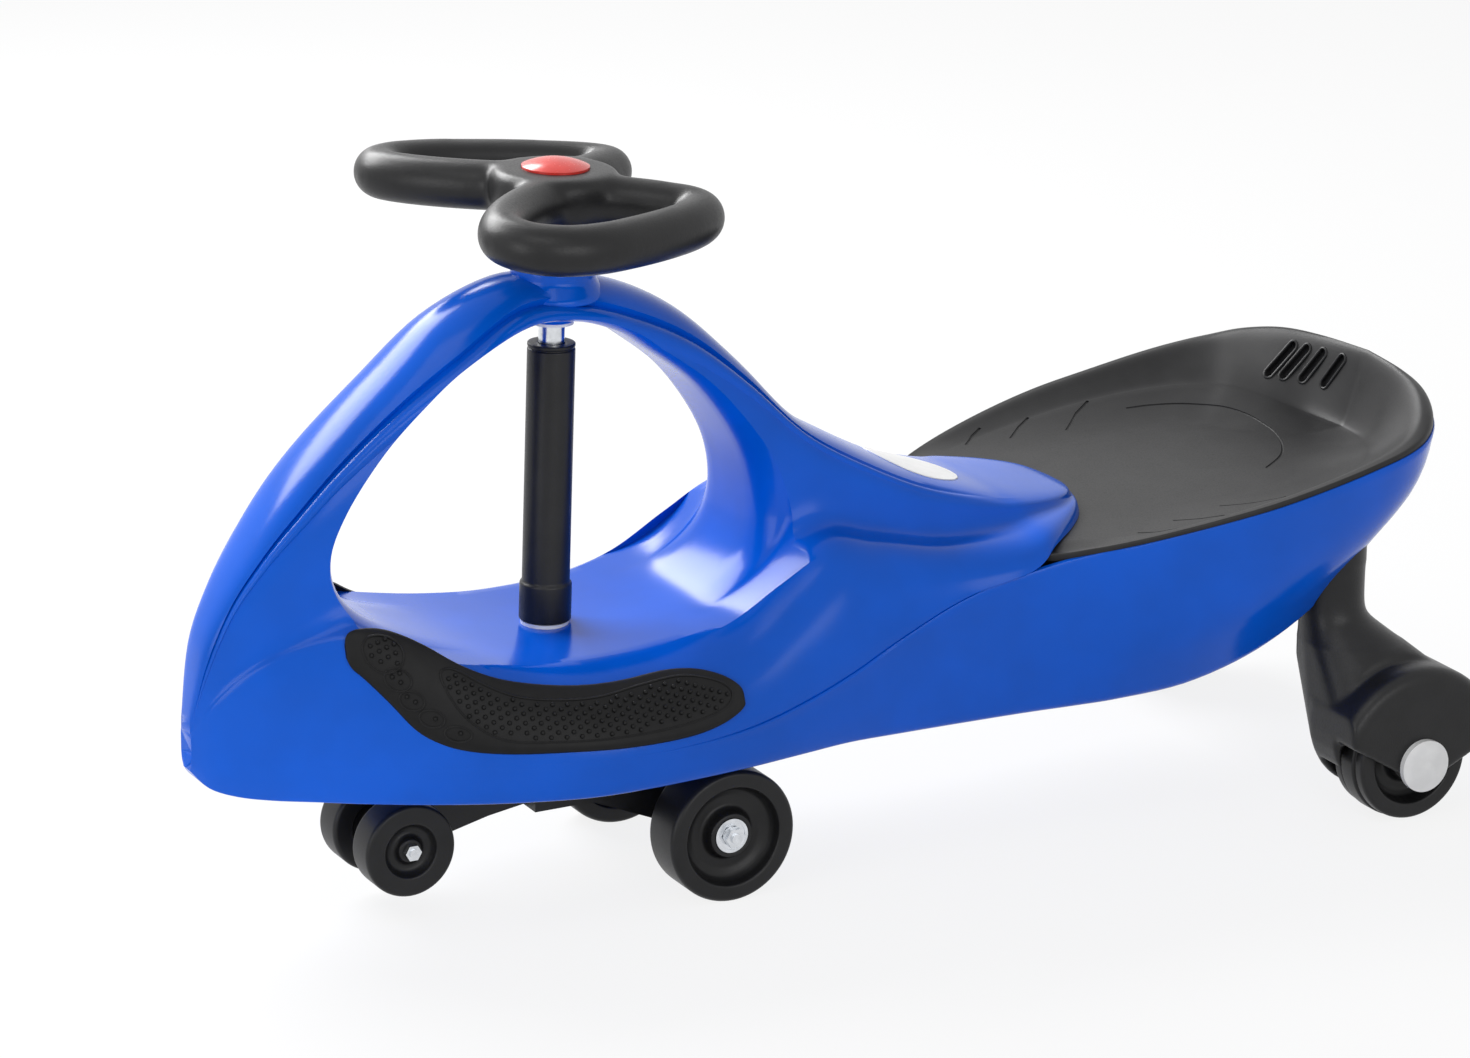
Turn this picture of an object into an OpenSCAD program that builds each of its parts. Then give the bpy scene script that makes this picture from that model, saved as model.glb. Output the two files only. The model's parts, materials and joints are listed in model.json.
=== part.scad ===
// Wiggle car: a child's ride-on car that rolls forward when its steering wheel is swung from side to side.
// Millimetres. +X is forward, +Y is the rider's left and +Z is up.
// The origin is on the ground under the middle.

/* [Steering] */
// backward lean of the steering axis, degrees
rake = 2; // [0:0.5:6]
// ground point of the steering axis, forward of the middle
steer_x = 164; // [145:1:180]
// outside radius of the steering tube
tube_r = 7; // [6:0.25:10]
// wall of the steering tube
tube_wall = 1.5; // [1:0.25:3]
// outside radius of the sleeve round the tube
sleeve_r = 12.75; // [11:0.25:16]
// height of the deck where the column passes through it
deck_z = 144; // [130:1:155]
// top of the sleeve along the column
sleeve_top = 298; // [260:1:305]
// radius of the steering wheel's grip tube
grip_r = 12.5; // [10:0.5:14]
// outward droop of each grip loop, degrees
grip_droop = 3.5; // [0:0.5:10]
// upward tilt of the grip loops' front ends, degrees
grip_tilt = 1.5; // [0:0.5:5]
// depth of the grip loops' middle plane below the top of the hub
grip_drop = 12; // [8:0.5:16]

/* [Wheels] */
// radius of the two main front wheels
front_r = 36.7; // [32:0.1:42]
// width of the main front wheels
front_w = 28.6; // [22:0.1:34]
// distance of the main front axle behind the steering axis
front_trail = 76.3; // [60:0.1:90]
// half the track of the main front wheels
front_half_track = 66.8; // [60:0.1:75]
// radius of the two small nose wheels
nose_r = 25.5; // [20:0.5:30]
// width of the nose wheels
nose_w = 20.4; // [15:0.1:24]
// distance of the nose axle ahead of the steering axis
nose_lead = 88.7; // [75:0.1:100]
// half the spacing of the nose wheels
nose_half_track = 21.4; // [18:0.1:30]
// height of the nose wheels above the ground
nose_clear = 15.3; // [5:0.1:25]
// radius of the rear wheels
rear_r = 35; // [30:0.5:40]
// width of the rear wheels
rear_w = 28.6; // [22:0.1:34]
// rear axle, behind the middle
rear_x = -303; // [-318:1:-280]
// half the track of the rear wheels
rear_half_track = 130; // [120:0.5:140]
// radius of the main axles
axle_r = 3; // [2.5:0.25:5]
// radius of the nose axle
nose_axle_r = 2.5; // [2:0.25:4]

/* [Body] */
// wall of the two body shells
wall = 3; // [2:0.5:4]
// wall of the seat tray
tray_wall = 2.5; // [2:0.5:4]
// clearance between the tops of the main front wheels and the underside of the hull
wheel_clear = 7.1; // [5:0.1:12]
// thickness of the deck under the hoop
deck_thick = 9; // [6:0.5:12]
// radius of the steering boss under the hoop
hoop_boss_r = 13.5; // [12:0.5:20]
// radius of the round post of each rear leg
leg_stem_r = 18.5; // [14:0.5:20]
// post of each rear leg, behind the middle
leg_x = -280; // [-288:1:-268]
// post of each rear leg, to the side
leg_y = 92; // [85:1:100]
// raised height of the foot pads
pad_rise = 2; // [1:0.25:4]

/* [Fits] */
// radial running clearance of tubes, axles and bearings
running = 0.05; // [0.02:0.01:0.1]
// plain clearance between pieces that pass each other
pass = 0.6; // [0.3:0.1:1.5]

/* [Hidden] */
$fn = 96;
keel_z = 2 * front_r + wheel_clear;
front_x = steer_x - front_trail;
nose_x = steer_x + nose_lead;
nose_z = nose_clear + nose_r;
front_half_axle = front_half_track + front_w / 2 + 4;
bearing_r = 9.5;
bearing_w = 6;
hub_r = 12.2;
bush_r = 10;
hoop_top_z = 330;
hoop_low_z = hoop_top_z - 20;
collar_r = 22.5;
collar_top = hoop_top_z + 10;
hub_low_z = collar_top + 1;
hub_h = 50;
deck_boss_low = keel_z + 7;
hub_top_z = hub_low_z + hub_h;
grip_z = hub_top_z - grip_drop;
cap_r = 17.85;
foot_z = 56;
hood_r = rear_r + 19.5;
hood_in = rear_half_track - 22.5;
hood_out = rear_half_track + 22.5;
nut_gap = 0.3;
screw_r = 2;
screw_head_r = 4;
post_r = 5.5;
socket_top = 169;
slope_per_mm = 0.05;
slot_w = 5;
slot_h = 17;
slot_slant = -28;
slot_reach = 9;
recess = 0.5;
recess_r = 48;
recess_front = -214;
recess_back = -246;
flat_x = -235;
flat_share = 0.62;

// height of the flat seat pan at a given x
function pan_z(x) = 172 - slope_per_mm * (x + 128);

// point at t on a smooth curve through rows of numbers
function row(rows, i) = rows[max(0, min(len(rows) - 1, i))];
function between(a, b, c, d, f) = b + f * ((c - a) / 2
    + f * ((a - 2.5 * b + 2 * c - d / 2) + f * (d - a + 3 * (b - c)) / 2));
function along(rows, t) = let(i = min(floor(t), len(rows) - 2))
    between(row(rows, i - 1), row(rows, i), row(rows, i + 1), row(rows, i + 2), t - i);

// point at v (0 to 1) on a clamped quadratic spline with the given control points
function spline(ctrl, v) = let(n = len(ctrl) - 2, s = min(v * n, n - 1e-6), i = floor(s), f = s - i,
    a = i == 0 ? ctrl[0] : (ctrl[i] + ctrl[i + 1]) / 2,
    b = ctrl[i + 1],
    c = i == n - 1 ? ctrl[n + 1] : (ctrl[i + 1] + ctrl[i + 2]) / 2)
    a * (1 - f) * (1 - f) + b * 2 * f * (1 - f) + c * f * f;

// Stations of the upper shell from the nose back to the end of the tongue:
// x, parting half width, parting height, deck half width, deck height, hoop half width, spine height,
// spine half width, depth of the groove beside the spine band
UPPER = [
    [365, 7, 104, 6.5, 116, 6, 126, 4, 0],
    [358, 17, 103.8, 15, 132, 13.5, 164, 9, 0],
    [346, 26, 103.5, 22.5, 147, 20, 190, 13, 0.5],
    [330, 35.5, 103.2, 30, 159, 26, 215, 16, 1.5],
    [310, 46, 103, 37.5, 168, 31, 242, 18, 2.5],
    [287, 60, 103, 46, 173, 34.5, 266, 19.5, 3],
    [257, 77, 103, 52, 166.5, 37, 292.5, 20.5, 3],
    [222, 92, 103, 55, 153, 38.5, 321, 21.5, 3],
    [182, 103, 102.5, 55.5, 145.2, 39.5, 336.5, 23, 3],
    [149, 105.5, 102, 55, 144, 40, 334, 24, 3],
    [117, 104.5, 102.5, 54.5, 146.5, 40, 327, 24, 3],
    [84, 101.5, 105.5, 55, 156, 40, 309.5, 24, 3],
    [52, 98, 113, 56, 175, 41, 280, 24, 3],
    [22, 94.5, 123, 58, 190, 44, 247, 25, 2.5],
    [-8, 91.5, 136, 61, 184, 47, 227.5, 25, 2],
    [-48, 90, 152, 66, 176, 50, 206.5, 24, 1],
    [-88, 92, 161.5, 70, 176, 52, 192.5, 28, 0],
    [-107, 83, pan_z(-107), 66, 179, 52, 188.5, 29, 0],
    [-130, 62, pan_z(-130), 52, 179, 44, 185, 28, 0],
    [-146, 42, pan_z(-146), 36, 178.5, 31, 182.5, 20, 0],
    [-154, 20, pan_z(-154), 17, 177.5, 15, 180, 9, 0],
    [-156.5, 6, pan_z(-156.5), 5, 176, 4.6, 178, 3, 0]];

// the rim line that both shells share, up to the place where the tongue leaves it
SHARED = 16;

// Hull underside at the shared stations: half width and height
KEEL = [[4.5, keel_z + 15.5], [14, keel_z + 7.5], [23, keel_z + 3.5], [32, keel_z + 1.5],
    [42.5, keel_z + 0.5], [56.5, keel_z], [74, keel_z], [90, keel_z], [102, keel_z], [104, keel_z],
    [102.5, keel_z], [99.5, keel_z], [95, keel_z], [91, keel_z], [88, keel_z - 1.5], [87, keel_z - 2.5],
    [89, keel_z - 2.5]];

// Stations of the hull behind the tongue:
// x, rim half width, rim height, underside half width, underside height
STERN = [
    [-118, 100, 168.5, 93, keel_z - 2],
    [-142, 110.7, 173.4, 98, keel_z - 0.5],
    [-180, 121.5, 180.8, 103.5, keel_z + 3.5],
    [-218, 128, 187.7, 105, keel_z + 13.5],
    [-253, 128.3, 194, 102, keel_z + 28],
    [-285, 126.4, 200.2, 97, keel_z + 47.5],
    [-308, 122.3, 204.5, 90.5, keel_z + 65],
    [-325, 113.8, 208, 82, keel_z + 78],
    [-340, 97.8, 212, 68, keel_z + 90],
    [-352, 72.8, 215.5, 48, keel_z + 102.5],
    [-359.5, 41, 217, 27, keel_z + 114.5],
    [-364, 14, 217.6, 10, keel_z + 124.5],
    [-365, 5, 217.8, 4, keel_z + 130]];

LOWER = concat([for (i = [0:SHARED]) [UPPER[i][0], UPPER[i][1], UPPER[i][2], KEEL[i][0], KEEL[i][1]]],
    STERN);

// Seat tray from the middle of its front edge round to the middle of its back:
// x, y, z of the edge, x, y of the foot of the wall, rise of the crest inside the edge, rise of the foot
// of the wall above the flat pan
TRAY = [
    [-76, 0, pan_z(-76), -86, 0, 0, 0],
    [-78, 40, pan_z(-78), -88, 34, 0, 0],
    [-86, 68, pan_z(-86), -95, 58, 0, 0],
    [-100, 87, 168, -108, 72, 0, 0],
    [-120, 100, 171.6, -126, 84, 0, 0.3],
    [-148, 111.7, 177, -152, 95, 0, 1.2],
    [-183, 121.4, 183.8, -186, 101, 0, 3.6],
    [-218, 127.2, 190.2, -218, 104, 0, 6.3],
    [-253, 127.5, 196.5, -250, 103, 0, 8.5],
    [-285, 125.6, 202.7, -276, 98, 0, 10],
    [-308, 121.5, 207, -294, 90, 0.5, 11],
    [-325, 113, 210.5, -307, 80, 2, 11.2],
    [-340, 97, 214.5, -315.5, 68, 4.5, 11.2],
    [-352, 72, 218, -326, 50, 6, 8.4],
    [-359.5, 40, 219.5, -338, 28, 6, 3],
    [-364, 0, 220, -345, 0, 6, 0.5]];

// Outline of the window in the hoop, seen from the side
WINDOW = [[180, 314], [215, 297], [238, 280], [261, 259], [282, 232], [292, 208], [287, 185], [264, 166],
    [224, 151], [182, 145], [142, 144.5], [102, 149], [74, 158], [54, 178], [48.5, 204], [56, 234],
    [80, 269], [110, 294], [128, 306], [152, 314]];

// how far round the half section each sampled point lies; the close group makes the groove beside the spine
SECTION = [0, 0.08, 0.16, 0.24, 0.32, 0.4, 0.48, 0.56, 0.64, 0.71, 0.765, 0.79, 0.815, 0.9, 1];
GROOVE = 11;
HULL_SECTION = [0, 0.12, 0.24, 0.34, 0.42, 0.48, 0.54, 0.62, 0.8, 1];

// outer half section of the upper shell at station t, as points (y, z)
function upper_ctrl(s) = let(yc = s[1], zc = s[2], yd = s[3], zd = s[4], ya = s[5], zt = s[6], ys = s[7])
    [[yc, zc], [yc - 0.06 * (yc - yd), zc + 0.42 * (zd - zc)], [yd + 0.42 * (yc - yd), zd - 0.04 * (zd - zc)],
    [ya + 0.35 * (yd - ya), zd + 0.02 * (zt - zd)], [ya, zd + 0.3 * (zt - zd)],
    [ya * 0.96, zt - 0.22 * (zt - zd)], [ys, zt], [0, zt]];
function upper_outer(s, v) = spline(upper_ctrl(s), v);
function upper_inner(s, v) = let(yc = s[1], zc = s[2], yd = s[3], zd = s[4],
    zi = max(zd - min(deck_thick, 0.6 * (zd - zc)), s[0] < -38 ? pan_z(s[0]) + 0.4 : 0))
    spline([[yc - wall, zc], [yc - wall - 0.06 * (yc - yd), zc + 0.42 * (zi - zc)],
    [yd - wall + 0.3 * (yc - yd), zi], [yd * 0.6, zi], [0, zi]], v);
function hull_outer(s, v) = let(yr = s[1], zr = s[2], yb = s[3], zb = s[4], h = zr - zb)
    spline([[yr, zr], [yr - 0.1 * (yr - yb), zr - 0.5 * h], [yb + 0.05 * (yr - yb), zb + 0.1 * h],
    [yb - 0.03 * yb, zb], [yb * 0.8, zb], [yb * 0.4, zb], [0, zb]], v);
function hull_inner(s, v) = let(yr = s[1], zr = s[2], yb = s[3], zb = s[4], w = min(wall, 0.6 * (zr - zb)),
    e = min(wall, yr * 0.4), h = zr - zb - w, yi = yb * (1 - e / yr))
    spline([[yr - e, zr], [yr - e - 0.1 * (yr - yb), zr - 0.5 * h],
    [yi + 0.05 * (yr - e - yi), zb + w + 0.1 * h], [yi * 0.97, zb + w], [yi * 0.8, zb + w],
    [yi * 0.4, zb + w], [0, zb + w]], v);

// both halves of a section, from the left edge over the middle to the right edge
function mirrored(half) = concat(half, [for (i = [len(half) - 2:-1:0]) [-half[i][0], half[i][1]]]);
function at_x(x, pts) = [for (p = pts) [x, p[0], p[1]]];

// solid whose sections are a strip between an outer and an inner line
module strip_loft(outer, inner) {
    m = len(outer);
    n = len(outer[0]);
    pts = [for (i = [0:m - 1]) each concat(outer[i], inner[i])];
    function o(i, j) = i * 2 * n + j;
    function q(i, j) = i * 2 * n + n + j;
    faces = concat(
        [for (i = [0:m - 2]) for (j = [0:n - 2]) each [[o(i, j), o(i, j + 1), o(i + 1, j + 1)],
            [o(i, j), o(i + 1, j + 1), o(i + 1, j)]]],
        [for (i = [0:m - 2]) for (j = [0:n - 2]) each [[q(i, j), q(i + 1, j + 1), q(i, j + 1)],
            [q(i, j), q(i + 1, j), q(i + 1, j + 1)]]],
        [for (i = [0:m - 2]) each [[o(i, 0), o(i + 1, 0), q(i + 1, 0)], [o(i, 0), q(i + 1, 0), q(i, 0)]]],
        [for (i = [0:m - 2]) each [[o(i, n - 1), q(i + 1, n - 1), o(i + 1, n - 1)],
            [o(i, n - 1), q(i, n - 1), q(i + 1, n - 1)]]],
        [for (j = [0:n - 2]) each [[o(0, j), q(0, j), q(0, j + 1)], [o(0, j), q(0, j + 1), o(0, j + 1)]]],
        [for (j = [0:n - 2]) each [[o(m - 1, j), q(m - 1, j + 1), q(m - 1, j)],
            [o(m - 1, j), o(m - 1, j + 1), q(m - 1, j + 1)]]]);
    polyhedron(points = pts, faces = faces, convexity = 8);
}

// how much a wall near one end of a shell is moved inward along x
function end_shift(t, last) = t < 2 ? -wall * (1 - t / 2) : t > last - 2 ? wall * (1 - (last - t) / 2) : 0;

module upper_skin() {
    last = len(UPPER) - 1;
    steps = [for (t = [0:0.5:last]) t];
    outer = [for (t = steps) let(s = along(UPPER, t))
        at_x(s[0], mirrored([for (j = [0:len(SECTION) - 1])
            upper_outer(s, SECTION[j]) - [0, j == GROOVE ? s[8] : 0]]))];
    inner = [for (t = steps) let(s = along(UPPER, t))
        at_x(s[0] + end_shift(t, last), mirrored([for (v = SECTION) upper_inner(s, v)]))];
    strip_loft(outer, inner);
}

module hull_skin() {
    last = len(LOWER) - 1;
    steps = [for (t = [0:0.5:last]) t];
    outer = [for (t = steps) let(s = along(LOWER, t))
        at_x(s[0], mirrored([for (v = HULL_SECTION) hull_outer(s, v)]))];
    inner = [for (t = steps) let(s = along(LOWER, t))
        at_x(s[0] + end_shift(t, last), mirrored([for (v = HULL_SECTION) hull_inner(s, v)]))];
    strip_loft(inner, outer);
}

// solid that opens the window: its outline grows towards both sides so that the hoop's edges come out round
module window_plug() {
    n = len(WINDOW);
    steps = 2 * n;
    ring = [for (i = [0:steps - 1]) let(t = i / 2, k = floor(t))
        between(WINDOW[(k + n - 1) % n], WINDOW[k], WINDOW[(k + 1) % n], WINDOW[(k + 2) % n], t - k)];
    middle = [steer_x, 225];
    sides = [[70, 22], [46, 15], [39, 8.5], [33, 4], [26, 1], [18, 0]];
    levels = concat([for (s = sides) [-s[0], s[1]]], [for (i = [len(sides) - 1:-1:0]) sides[i]]);
    function grown(p, e) = let(d = p - middle, lift = max(0, min(1, (p[1] - 150) / 50)))
        p + e * lift * d / norm(d);
    pts = concat([for (l = levels) for (p = ring) let(g = grown(p, l[1])) [g[0], l[0], g[1]]],
        [[middle[0], -sides[0][0], middle[1]], [middle[0], sides[0][0], middle[1]]]);
    m = len(levels);
    faces = concat(
        [for (i = [0:m - 2]) for (j = [0:steps - 1]) let(k = (j + 1) % steps, a = i * steps, b = a + steps)
            each [[a + j, b + k, a + k], [a + j, b + j, b + k]]],
        [for (j = [0:steps - 1]) [m * steps, j, (j + 1) % steps]],
        [for (j = [0:steps - 1]) let(b = (m - 1) * steps) [m * steps + 1, b + (j + 1) % steps, b + j]]);
    polyhedron(points = pts, faces = faces, convexity = 6);
}

// places children in the leaning frame of the steering column, with z along the column
module on_column() {
    translate([steer_x, 0, 0]) rotate([0, -rake, 0]) children();
}

// cylinder along y, centred at a given point
module cross_rod(at, r, y0, y1) {
    translate([at[0], y1, at[1]]) rotate([90, 0, 0]) cylinder(r = r, h = y1 - y0);
}

module ring_solid(r0, r1, z0, z1) {
    translate([0, 0, z0]) difference() {
        cylinder(r = r1, h = z1 - z0);
        translate([0, 0, -1]) cylinder(r = r0, h = z1 - z0 + 2);
    }
}

// places of the shell's screw posts on the left: x, y and the height at which each post joins the deck
SHELL_POSTS = [[242, 45, 156], [92, 70, 143], [12, 60, 179]];

// places of the seat's screw posts on the left: x, y and the height of the hull under them
SEAT_POSTS = [[-125, 41, keel_z - 1.7], [-167, 52.5, keel_z + 1.5]];

// countersunk screw that points up from the given height
module screw(at, z, length) {
    neck = screw_head_r - screw_r;
    translate([at[0], at[1], z]) rotate_extrude() polygon([[0, 0], [screw_head_r, 0], [screw_head_r, 0.4],
        [screw_r, neck + 0.4], [screw_r, length - 2], [0.5, length], [0, length]]);
}

module screw_hole(at, z) {
    neck = screw_head_r - screw_r;
    translate([at[0], at[1], z]) rotate_extrude() polygon([[0, -4], [screw_head_r, -4], [screw_head_r, 0.4],
        [screw_r, neck + 0.4], [screw_r, 12], [0, 12]]);
}

// round-headed screw whose head stands below the given height
module round_screw(at, z, length) {
    translate([at[0], at[1], z]) rotate_extrude() polygon([[0, -2.6], [2.4, -2.6], [3.6, -1.9],
        [screw_head_r, -1], [screw_head_r, -0.3], [screw_r, -0.3], [screw_r, length - 2], [0.5, length],
        [0, length]]);
}

module screw_post(at, z, top) {
    translate([at[0], at[1], z]) cylinder(r = post_r, h = top - z);
}

module screw_bore(at, z, depth) {
    translate([at[0], at[1], z - 1]) cylinder(r = screw_r, h = depth + 1);
}

module upper_shell() {
    floor_z = keel_z + wall + 0.2;
    color("blue") difference() {
        union() {
            difference() {
                upper_skin();
                window_plug();
            }
            on_column() translate([0, 0, hoop_low_z + 2]) cylinder(r = hoop_boss_r, h = 12);
            on_column() translate([0, 0, hoop_low_z])
                cylinder(r1 = hoop_boss_r - 1.5, r2 = hoop_boss_r, h = 2);
            on_column() translate([0, 0, hoop_top_z - 10]) rotate([0, 0, 50])
                cylinder(r = collar_r, h = collar_top - hoop_top_z + 10);
            on_column() translate([0, 0, deck_boss_low])
                cylinder(r = bush_r + 6, h = deck_z - 2 - deck_boss_low);
            for (p = SHELL_POSTS) for (side = [-1, 1]) screw_post([p[0], side * p[1]], floor_z, p[2]);
        }
        on_column() translate([0, 0, hoop_low_z - 1]) cylinder(r = bush_r, h = 60);
        on_column() translate([0, 0, deck_boss_low - 1]) cylinder(r = bush_r, h = 90);
        on_column() translate([0, 0, deck_z]) cylinder(r = bush_r + 3.2, h = 8);
        for (p = SHELL_POSTS) for (side = [-1, 1]) screw_bore([p[0], side * p[1]], floor_z, 26);
    }
}

module lower_shell() {
    color("blue") difference() {
        union() {
            hull_skin();
            for (side = [-1, 1]) translate([leg_x, side * leg_y, socket_top - 15])
                cylinder(r = leg_stem_r + 3, h = 18);
        }
        on_column() translate([0, 0, keel_z - 8]) cylinder(r = bush_r + 10, h = 30);
        for (side = [-1, 1]) {
            translate([leg_x, side * leg_y, keel_z]) cylinder(r = leg_stem_r, h = socket_top - keel_z);
            translate([leg_x, side * leg_y, socket_top - 1]) cylinder(r = screw_r, h = 10);
            for (p = SHELL_POSTS) screw_hole([p[0], side * p[1]], keel_z);
            for (p = SEAT_POSTS) screw_bore([p[0], side * p[1]], p[2] - 4, 14);
        }
    }
}

module seat_tray() {
    n = 2 * (len(TRAY) - 1);
    half = [for (i = [0:n]) along(TRAY, i / 2)];
    loop = concat(half, [for (i = [n - 1:-1:1]) let(s = half[i])
        [s[0], -s[1], s[2], s[3], -s[4], s[5], s[6]]]);
    count = len(loop);
    function edge(s) = [s[0], s[1], s[2]];
    function foot(s) = [s[3], s[4], pan_z(s[3]) + s[6]];
    function flat(s) = let(x = flat_x + flat_share * (s[3] - flat_x)) [x, flat_share * s[4], pan_z(x)];
    function mix(a, b, f) = a * (1 - f) + b * f;
    function ring(s) = let(e = edge(s), p = foot(s), c = mix(e, p, 0.22), lip = [c[0], c[1], e[2] + s[5]])
        [e, lip, [mix(lip, p, 0.4)[0], mix(lip, p, 0.4)[1], mix(lip, p, 0.52)[2]],
        [mix(lip, p, 0.75)[0], mix(lip, p, 0.75)[1], mix(lip, p, 0.9)[2]], p, flat(s)];
    top = [for (s = loop) ring(s)];
    k = len(top[0]);
    pts = concat([for (r = top) each r], [for (r = top) for (p = r) p - [0, 0, tray_wall]]);
    function u(i, j) = (i % count) * k + j;
    function d(i, j) = count * k + (i % count) * k + j;
    faces = concat(
        [for (i = [0:count - 1]) for (j = [0:k - 2]) each [[u(i, j), u(i, j + 1), u(i + 1, j + 1)],
            [u(i, j), u(i + 1, j + 1), u(i + 1, j)]]],
        [for (i = [0:count - 1]) for (j = [0:k - 2]) each [[d(i, j), d(i + 1, j + 1), d(i, j + 1)],
            [d(i, j), d(i + 1, j), d(i + 1, j + 1)]]],
        [for (i = [0:count - 1]) each [[u(i, 0), u(i + 1, 0), d(i + 1, 0)], [u(i, 0), d(i + 1, 0), d(i, 0)]]],
        [[for (i = [count - 1:-1:0]) u(i, k - 1)]],
        [[for (i = [0:count - 1]) d(i, k - 1)]]);
    // one slanted slot through the back wall, part way round the tray; the four are on the right half
    module slot(t) {
        s = along(TRAY, t);
        at = mix(edge(s), foot(s), 0.465);
        run = along(TRAY, t + 0.1) - along(TRAY, t - 0.1);
        translate([at[0], at[1], pan_z(at[0]) + 26.5]) rotate([0, 0, atan2(-run[0], run[1])])
            rotate([slot_slant, 0, 0]) translate([-slot_reach, 0, 0]) {
                translate([0, -slot_w / 2, -slot_h / 2]) cube([2 * slot_reach, slot_w, slot_h]);
                for (z = [-1, 1]) translate([0, 0, z * slot_h / 2]) rotate([0, 90, 0])
                    cylinder(r = slot_w / 2, h = 2 * slot_reach);
            }
    }
    // shallow flat recess in the pan, behind the tongue
    module seat_recess() {
        turn = 180 / 16;
        ends = concat([for (i = [0:16]) [recess_front, 0] + recess_r * [sin(i * turn), -cos(i * turn)]],
            [for (i = [0:16]) [recess_back, 0] + recess_r * [-sin(i * turn), cos(i * turn)]]);
        translate([0, 0, pan_z(0)]) rotate([0, atan(slope_per_mm), 0]) translate([0, 0, -recess])
            linear_extrude(recess + 5) polygon(ends);
    }
    color("dimgray") difference() {
        union() {
            polyhedron(points = pts, faces = faces, convexity = 6);
            for (p = SEAT_POSTS) for (side = [-1, 1])
                screw_post([p[0], side * p[1]], p[2] + wall + 1.2, pan_z(p[0]) - tray_wall + 1);
        }
        mirror([0, 1, 0]) for (t = [13.19, 13.54, 13.95, 14.38]) slot(t);
        seat_recess();
        for (p = SEAT_POSTS) for (side = [-1, 1]) screw_bore([p[0], side * p[1]], p[2] + wall, 26);
    }
}

// left foot pad as sections along the deck: station, lower and upper edge round the section
PAD = [[4.66, 0.215, 0.255], [4.75, 0.185, 0.305], [4.95, 0.16, 0.335], [5.35, 0.11, 0.35],
    [5.7, 0.065, 0.325], [6.05, 0.042, 0.285], [6.45, 0.03, 0.245], [7.05, 0.025, 0.22],
    [7.8, 0.025, 0.21], [8.8, 0.022, 0.21], [9.55, 0.022, 0.215], [10.05, 0.025, 0.195],
    [10.45, 0.034, 0.155], [10.7, 0.047, 0.115], [10.8, 0.06, 0.085]];

// point on the deck surface at station t and section place v, lifted off it by a height
function deck_point(t, v) = let(s = along(UPPER, t), p = upper_outer(s, v)) [s[0], p[0], p[1]];
function deck_normal(t, v) = let(n = cross(deck_point(t + 0.05, v) - deck_point(t - 0.05, v),
    deck_point(t, v + 0.01) - deck_point(t, v - 0.01))) n / norm(n);
function lifted(t, v, h) = deck_point(t, v) + h * deck_normal(t, v);

module foot_pad() {
    rows = [for (i = [0:0.5:len(PAD) - 1]) along(PAD, i)];
    across = [0, 0.12, 0.36, 0.64, 0.88, 1];
    lift = [0.4, 1, 1, 1, 1, 0.4];
    function place(r, j, h) = lifted(r[0], r[1] + (r[2] - r[1]) * across[j], h);
    top = [for (r = rows) [for (j = [0:5]) place(r, j, pad_rise * lift[j])]];
    foot = [for (r = rows) [for (j = [0:5]) place(r, j, -0.3)]];
    strip_loft(top, foot);
}

module left_foot_pad() {
    color("#202020") foot_pad();
}

module right_foot_pad() {
    color("#202020") mirror([0, 1, 0]) foot_pad();
}

module upper_bush() {
    color("white") on_column() difference() {
        union() {
            translate([0, 0, hoop_low_z - 1.5]) cylinder(r = hoop_boss_r - 2, h = 1.5);
            translate([0, 0, hoop_low_z]) cylinder(r = bush_r, h = collar_top - 4 - hoop_low_z);
        }
        translate([0, 0, hoop_low_z - 5]) cylinder(r = tube_r + running, h = 40);
    }
}

module lower_bush() {
    color("white") on_column() difference() {
        union() {
            translate([0, 0, deck_z]) cylinder(r = bush_r + 3, h = 2);
            translate([0, 0, deck_boss_low]) cylinder(r = bush_r, h = deck_z - deck_boss_low);
        }
        translate([0, 0, deck_boss_low - 5]) cylinder(r = tube_r + running, h = 90);
    }
}

module steering_tube() {
    color("silver") on_column() ring_solid(tube_r - tube_wall, tube_r, foot_z, hub_top_z - 21);
}

module column_sleeve() {
    color("#202020") on_column() {
        ring_solid(tube_r, sleeve_r, deck_z + 2 + pass, sleeve_top);
        ring_solid(sleeve_r, sleeve_r + 1.2, deck_z + 2 + pass, deck_z + 24);
    }
}

// corners of the left grip loop, seen from above: x, y and radius of the line that the grip tube follows
CORNERS = [[-1, 26.5, 19], [45.5, 82, 18.5], [-35.8, 57, 17.5]];
function corner(i) = CORNERS[(i + 3) % 3];

// outward direction of the straight length from one corner to the next, tangent to both
function side_normal(i) = let(a = corner(i), b = corner(i + 1), d = [b[0] - a[0], b[1] - a[1]])
    atan2(d[1], d[0]) - acos((a[2] - b[2]) / norm(d));

module grip_loop() {
    turns = 9;
    spokes = 14;
    stops = [for (i = [0:2]) for (k = [0:turns]) let(from = side_normal(i - 1),
        span = (side_normal(i) - from + 720) % 360) [corner(i), from + span * k / turns]];
    n = len(stops);
    pts = [for (s = stops) for (k = [0:spokes - 1]) let(c = s[0], a = s[1], b = 360 * k / spokes,
        reach = c[2] + grip_r * cos(b)) [c[0] + reach * cos(a), c[1] + reach * sin(a), grip_r * sin(b)]];
    function at(i, k) = (i % n) * spokes + k % spokes;
    polyhedron(points = pts, faces = [for (i = [0:n - 1]) for (k = [0:spokes - 1])
        each [[at(i, k), at(i + 1, k + 1), at(i + 1, k)], [at(i, k), at(i, k + 1), at(i + 1, k + 1)]]],
        convexity = 6);
}

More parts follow.
